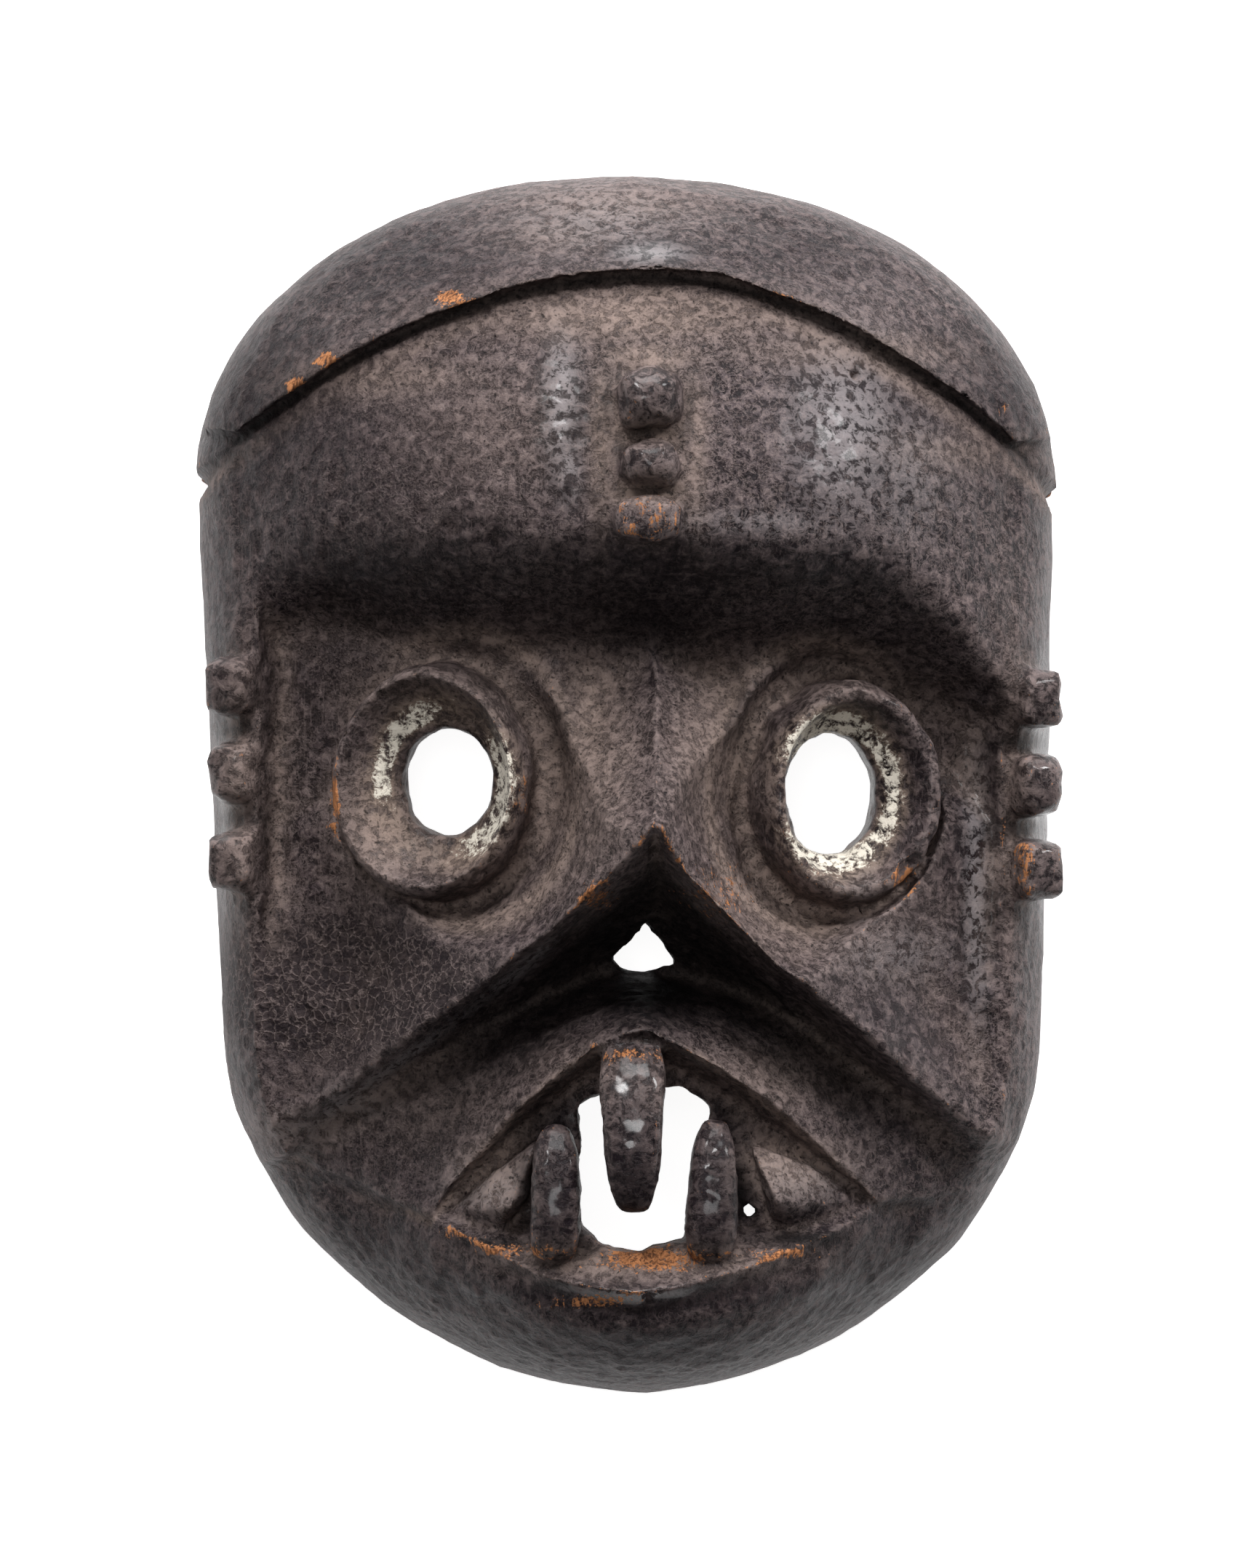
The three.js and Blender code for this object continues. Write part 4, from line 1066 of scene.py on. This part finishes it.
def moatDust(x, y):  # the groove beside each eye and its outer crest hold light brown dust
    total = np.zeros(len(x))
    for eye in eyes:
        facing, out = aroundEye(eye, x, y)
        crestAt = lerp(ledges["moatNear"], ledges["moatFar"], smoothStep(facing, -0.3, 0.9))
        crest = bell(out - eyeShape["moatWidth"] * crestAt, ledges["moatWidth"])
        total = np.maximum(total, crest * smoothStep(facing, -0.5, 0.1))
    return total


def keepAttribute(piece, name, values):
    layer = piece.data.attributes.new(name, "FLOAT", "POINT")
    layer.data.foreach_set("value", np.clip(values, 0, 1).astype(np.float32))


def markSurface(piece):
    ends, counts = neighbourEnds(piece)
    places, normals = vertexPlaces(piece), vertexNormals(piece)
    x, y, z = places.T
    inside = insideShare(x, y, z)
    near = spread(places, ends, counts, relief["nearRounds"])
    far = spread(near, ends, counts, relief["farRounds"])
    edge = np.einsum("ij,ij->i", places - near, normals)
    bulge = np.einsum("ij,ij->i", places - far, normals)
    keepAttribute(piece, "edge", edge / relief["edge"])
    keepAttribute(piece, "recess", -bulge / relief["recess"])
    keepAttribute(piece, "crest", bulge / relief["crest"])
    keepAttribute(piece, "inside", inside)
    keepAttribute(piece, "kaolin", kaolinShare(x, y, z) * (1 - inside))
    # dust in the grooves, painted shade under overhangs, a painted reflection on the fold's bevel and bare
    # wood at the rim
    alongForms = {
        "dustAndPaintedLight": np.maximum(moatDust(x, y), ledgeDust(x, y)), "shadeAndPitBlack": paintedShadeShare(x, y),
        "paintedSheen": foldBevelSheen(x, y), "bareWood": ledges["rimWood"] * bell(z, ledges["rimHeight"]),
    }
    for name in marks:
        share = np.maximum(markShare(name, x, y), alongForms.get(name, 0))
        keepAttribute(piece, name, share * (1 - inside))


markSurface(mask)
places = vertexPlaces(mask) + (*carveToFrame, 0)
low, high = (np.array(corner) / millimetre for corner in boxAtLoad)
placeVertices(mask, np.clip(places, low, high) * millimetre)
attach(mask, "root")
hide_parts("mask")
print("mask carved")


# An old dark patina over brown wood
finish = {
    "patina": (0.011, 0.0076, 0.0094), "patinaWarm": (0.068, 0.05, 0.0535), "worn": (0.215, 0.166, 0.158),
    # the near-black serves as painted shade and for the pits, the dark partly as painted shade, the dust
    # colour partly as painted light, and the grey as a painted sheen
    "dustAndPaintedLight": (0.295, 0.222, 0.19), "shadeAndPitBlack": (0.0035, 0.0032, 0.0036), "darkAndShade": (0.0085, 0.005, 0.0075),
    "bareWood": (0.45, 0.19, 0.08), "bareWoodDark": (0.1, 0.04, 0.02), "kaolin": (0.8, 0.74, 0.64),
    "kaolinWash": (0.3, 0.225, 0.175), "sheenGrey": (0.27, 0.246, 0.253),
    "inside": (0.085, 0.048, 0.028), "insideDark": (0.02, 0.013, 0.009),
    "roughPatina": 0.36, "roughPolish": 0.14, "roughCrackle": 0.52, "roughLines": 0.62, "roughDust": 0.85,
    "roughInside": 0.8, "roughGrit": 0.14, "specular": 0.12, "gloss": 0.7, "glossRoughness": 0.12,
}
mmScale, grainScale = (1000, 1000, 1000), (2600, 260, 2600)  # the grain runs down the face
# scale for each millimetre, detail, roughness, distortion
noises = {
    "wide": (0.028, 3, 0.55, 0), "patch": (0.09, 3, 0.6, 0), "flake": (0.42, 5, 0.68, 0.4),
    "fine": (1.6, 3, 0.7, 0), "wisp": (0.5, 4, 0.62, 0.8), "grain": (0.5, 4, 0.6, 0.6),
    "inside": (0.05, 4, 0.65, 0), "bend": (0.4, 2, 0.5, 0),
}
cells = {"crackle": 0.42, "net": 1.05, "pit": 0.62, "bend": 2.6}  # for each millimetre, and the bend in mm
wood = bpy.data.materials.new("darkWood")
wood.use_nodes = True
tree = wood.node_tree
shader = tree.nodes["Principled BSDF"]


def addNode(kind, inputs=None, **settings):
    node = tree.nodes.new(kind)
    for key, value in settings.items():
        setattr(node, key, value)
    for key, value in (inputs or {}).items():
        if isinstance(value, bpy.types.NodeSocket):
            tree.links.new(value, node.inputs[key])
        else:
            node.inputs[key].default_value = value
    return node


def mathNode(operation, *values):
    return addNode("ShaderNodeMath", dict(enumerate(values)), operation=operation).outputs[0]


def times(first, second):
    return mathNode("MULTIPLY", first, second)


def timesPlus(first, second, third):
    return mathNode("MULTIPLY_ADD", first, second, third)


def largest(first, second):
    return mathNode("MAXIMUM", first, second)


def unless(share):
    return mathNode("SUBTRACT", 1.0, share)


def between(value, low, high):  # 0 below low, 1 above high
    return addNode("ShaderNodeMapRange", {"Value": value, "From Min": low, "From Max": high},
                   interpolation_type="SMOOTHSTEP").outputs["Result"]


def colourMix(share, first, second):
    first, second = ((*value, 1) if isinstance(value, tuple) else value for value in (first, second))
    return addNode("ShaderNodeMix", {0: share, 6: first, 7: second}, data_type="RGBA",
                   clamp_factor=True).outputs[2]


def valueMix(share, first, second):
    return addNode("ShaderNodeMix", {0: share, 2: first, 3: second}, data_type="FLOAT",
                   clamp_factor=True).outputs[0]


def noise(name, places=None, output="Fac"):
    scale, detail, roughness, distortion = noises[name]
    return addNode("ShaderNodeTexNoise", {"Vector": places or inMillimetres, "Scale": scale, "Detail": detail,
                                          "Roughness": roughness, "Distortion": distortion}).outputs[output]


def cellNode(name, feature):
    return addNode("ShaderNodeTexVoronoi", {"Vector": bent, "Scale": cells[name]}, feature=feature)


coordinates = addNode("ShaderNodeTexCoord").outputs["Object"]
inMillimetres, alongGrain = (addNode("ShaderNodeMapping", {"Vector": coordinates, "Scale": scale}).outputs[0]
                             for scale in (mmScale, grainScale))
# the marks read here include painted shade, painted light and a painted sheen
edge, recess, crest, inside, kaolinPaint, bareWood, dustAndPaintedLight, polish, paintedSheen, crackle, darkAndShade, shadeAndPitBlack = (
    addNode("ShaderNodeAttribute", attribute_name=name).outputs["Fac"]
    for name in ("edge", "recess", "crest", "inside", "kaolin", *marks))
wideNoise, patchNoise, flakeNoise, fineNoise, wispNoise = (
    noise(name) for name in ("wide", "patch", "flake", "fine", "wisp"))
grainNoise = noise("grain", alongGrain)
bend = addNode("ShaderNodeVectorMath", {0: noise("bend", output="Color"), 1: (cells["bend"],) * 3},
               operation="MULTIPLY").outputs[0]
bent = addNode("ShaderNodeVectorMath", {0: inMillimetres, 1: bend}, operation="ADD").outputs[0]
crackleCells, netCells = (cellNode(name, "DISTANCE_TO_EDGE").outputs["Distance"]
                          for name in ("crackle", "net"))
pitCells = cellNode("pit", "F1").outputs

# thin light lines: the ridges of the crackle, a finer net, and loose wisps
crackleShare = between(timesPlus(patchNoise, 0.5, crackle), 0.4, 0.85)
crackleLine = times(unless(between(crackleCells, 0.02, 0.12)), crackleShare)
crackleLine = times(crackleLine, between(timesPlus(flakeNoise, 0.7, fineNoise), 0.6, 1.1))
netShare = between(timesPlus(patchNoise, 0.8, timesPlus(polish, -0.5, crackle)), 0.35, 0.8)
netLine = times(unless(between(netCells, 0.02, 0.22)), netShare)
netLine = times(times(netLine, between(fineNoise, 0.38, 0.6)), timesPlus(crackleShare, -0.75, 1.0))
wispLine = unless(between(mathNode("ABSOLUTE", mathNode("SUBTRACT", wispNoise, 0.5)), 0.01, 0.05))
wispShare = times(wispLine, between(mathNode("SUBTRACT", patchNoise, largest(polish, crackle)), 0.1, 0.5))
lines = largest(crackleLine, largest(netLine, times(wispShare, 0.8)))
pit = times(unless(between(pitCells["Distance"], 0.1, 0.3)),
            between(timesPlus(patchNoise, 0.8, pitCells["Color"]), 0.75, 0.95))
plate = between(flakeNoise, 0.44, 0.5)  # smooth plates of crust with gaps between them
chipped = between(flakeNoise, 0.58, 0.64)
fibre = between(grainNoise, 0.54, 0.66)

# dust in recesses, and painted light where the dust marks lie on lit faces
dustAndLightShare = timesPlus(recess, 0.7, times(dustAndPaintedLight, 0.85))
dustAndLightShare = times(dustAndLightShare, between(timesPlus(fineNoise, 0.5, flakeNoise), 0.42, 0.95))
wearShare = times(largest(between(edge, 0.3, 0.85), times(crest, 0.6)), between(flakeNoise, 0.36, 0.6))
# painted sheen, broken into flakes
paintedSheenShare = times(paintedSheen, between(flakeNoise, 0.42, 0.5))
mottle = timesPlus(patchNoise, 0.6, times(between(flakeNoise, 0.42, 0.58), 0.8))
mottle = timesPlus(between(wideNoise, 0.35, 0.65), 0.4, mathNode("SUBTRACT", mottle, 0.48))
bareShare = timesPlus(edge, 0.36, timesPlus(grainNoise, 0.9, timesPlus(fineNoise, 0.8, bareWood)))
bareShare = between(bareShare, 1.34, 1.46)
bareColour = colourMix(between(grainNoise, 0.36, 0.62), finish["bareWoodDark"], finish["bareWood"])
kaolinMark = between(timesPlus(fineNoise, 1.1, timesPlus(flakeNoise, 2.4, kaolinPaint)), 2.45, 2.8)
insideColour = colourMix(between(noise("inside"), 0.35, 0.65), finish["insideDark"],
                         colourMix(grainNoise, finish["insideDark"], finish["inside"]))

# what lies over the patina, painted shade, light and sheen among it, from the lowest coat to the highest
coats = [
    (times(chipped, 0.5), finish["worn"]),
    (times(crackleShare, 0.85), finish["darkAndShade"]),
    (times(lines, 0.6), finish["worn"]),
    (times(fibre, timesPlus(crackleShare, -0.25, 0.3)), finish["worn"]),
    (times(polish, 0.4), finish["patina"]),
    # painted sheen
    (times(paintedSheenShare, 0.75), finish["sheenGrey"]),
    # darker tone, partly painted shade
    (times(darkAndShade, timesPlus(flakeNoise, -0.5, 1.05)), finish["darkAndShade"]),
    (times(crackleLine, 0.7), finish["worn"]),
    (times(wearShare, timesPlus(darkAndShade, -0.4, 0.6)), finish["worn"]),
    # dust, partly painted light
    (times(dustAndLightShare, timesPlus(darkAndShade, -0.8, 1.0)), finish["dustAndPaintedLight"]),
    (times(pit, 0.75), finish["shadeAndPitBlack"]),
    # painted shade
    (times(shadeAndPitBlack, 0.92), finish["shadeAndPitBlack"]),
    (bareShare, bareColour),
    (times(kaolinPaint, between(flakeNoise, 0.36, 0.6)), finish["kaolinWash"]),
    (kaolinMark, finish["kaolin"]),
    (inside, insideColour),
]
colour = colourMix(mottle, finish["patina"], finish["patinaWarm"])
for share, paint in coats:
    colour = colourMix(share, colour, paint)
tree.links.new(colour, shader.inputs["Base Color"])
shader.inputs["Specular IOR Level"].default_value = finish["specular"]
shader.inputs["Coat Roughness"].default_value = finish["glossRoughness"]
gloss = times(times(polish, polish), unless(largest(dustAndLightShare, bareShare)))
gloss = times(gloss, between(flakeNoise, 0.74, 0.56))
tree.links.new(times(gloss, finish["gloss"]), shader.inputs["Coat Weight"])

rough = valueMix(polish, finish["roughPatina"], finish["roughPolish"])
rough = valueMix(largest(crackleShare, shadeAndPitBlack), rough, finish["roughCrackle"])
rough = timesPlus(fineNoise, finish["roughGrit"], rough)
rough = valueMix(largest(chipped, lines), rough, finish["roughLines"])
rough = valueMix(largest(dustAndLightShare, largest(kaolinMark, bareShare)), rough, finish["roughDust"])
rough = valueMix(inside, rough, finish["roughInside"])
tree.links.new(rough, shader.inputs["Roughness"])

# low relief of the crust, each part with its height in millimetres
height = times(times(flakeNoise, 0.5), timesPlus(polish, -0.55, 1.0))
for part, rise in ((fineNoise, 0.15), (plate, 0.11), (crackleLine, 0.32), (kaolinMark, 0.1)):
    height = timesPlus(part, rise, height)
bump = addNode("ShaderNodeBump", {"Height": height, "Distance": millimetre, "Strength": 1.0})
tree.links.new(bump.outputs["Normal"], shader.inputs["Normal"])
mask.data.materials.clear()
mask.data.materials.append(wood)
print("material ready")


stage = {
    "floorSize": 12, "floorGlow": 0.92, "worldLight": 0.06,
    # place in metres, size in metres, watts
    "lights": [((-0.5, 1.26, 1.32), 0.28, 15), ((1.2, 1.15, 0.95), 0.36, 19), ((0.1, 1.75, 0.75), 0.9, 30),
               ((-0.1, 0.15, 2.2), 0.5, 9)],
    "lens": 196.9, "cameraHeight": 2.0,
}


def addFloor():
    deselectAll()
    bpy.ops.mesh.primitive_plane_add(size=stage["floorSize"])
    floor = bpy.context.object
    floor.name = "floor"
    paper = bpy.data.materials.new("floorPaper")
    paper.use_nodes = True
    surface = paper.node_tree.nodes["Principled BSDF"]
    surface.inputs["Base Color"].default_value = (0.8, 0.8, 0.8, 1)
    surface.inputs["Roughness"].default_value = 0.9
    surface.inputs["Emission Color"].default_value = (1, 1, 1, 1)
    surface.inputs["Emission Strength"].default_value = stage["floorGlow"]
    floor.data.materials.append(paper)


def addLights():
    world = bpy.data.worlds.new("studio")
    bpy.context.scene.world = world
    world.use_nodes = True
    world.node_tree.nodes["Background"].inputs["Color"].default_value = (1, 1, 1, 1)
    world.node_tree.nodes["Background"].inputs["Strength"].default_value = stage["worldLight"]
    for place, size, watts in stage["lights"]:
        light = bpy.data.lights.new("softBox", "AREA")
        light.size, light.energy = size, watts
        lamp = bpy.data.objects.new("softBox", light)
        bpy.context.scene.collection.objects.link(lamp)
        lamp.location = place
        lamp.rotation_euler = (-lamp.location).to_track_quat("-Z", "Y").to_euler()


def addCamera():
    camera = bpy.data.objects.new("camera", bpy.data.cameras.new("camera"))
    bpy.context.scene.collection.objects.link(camera)
    camera.data.lens = stage["lens"]
    camera.location = (carveToFrame[0] * millimetre, carveToFrame[1] * millimetre, stage["cameraHeight"])
    bpy.context.scene.camera = camera


addFloor()
addLights()
addCamera()
bpy.context.scene.view_settings.view_transform = "Standard"
print("stage ready")
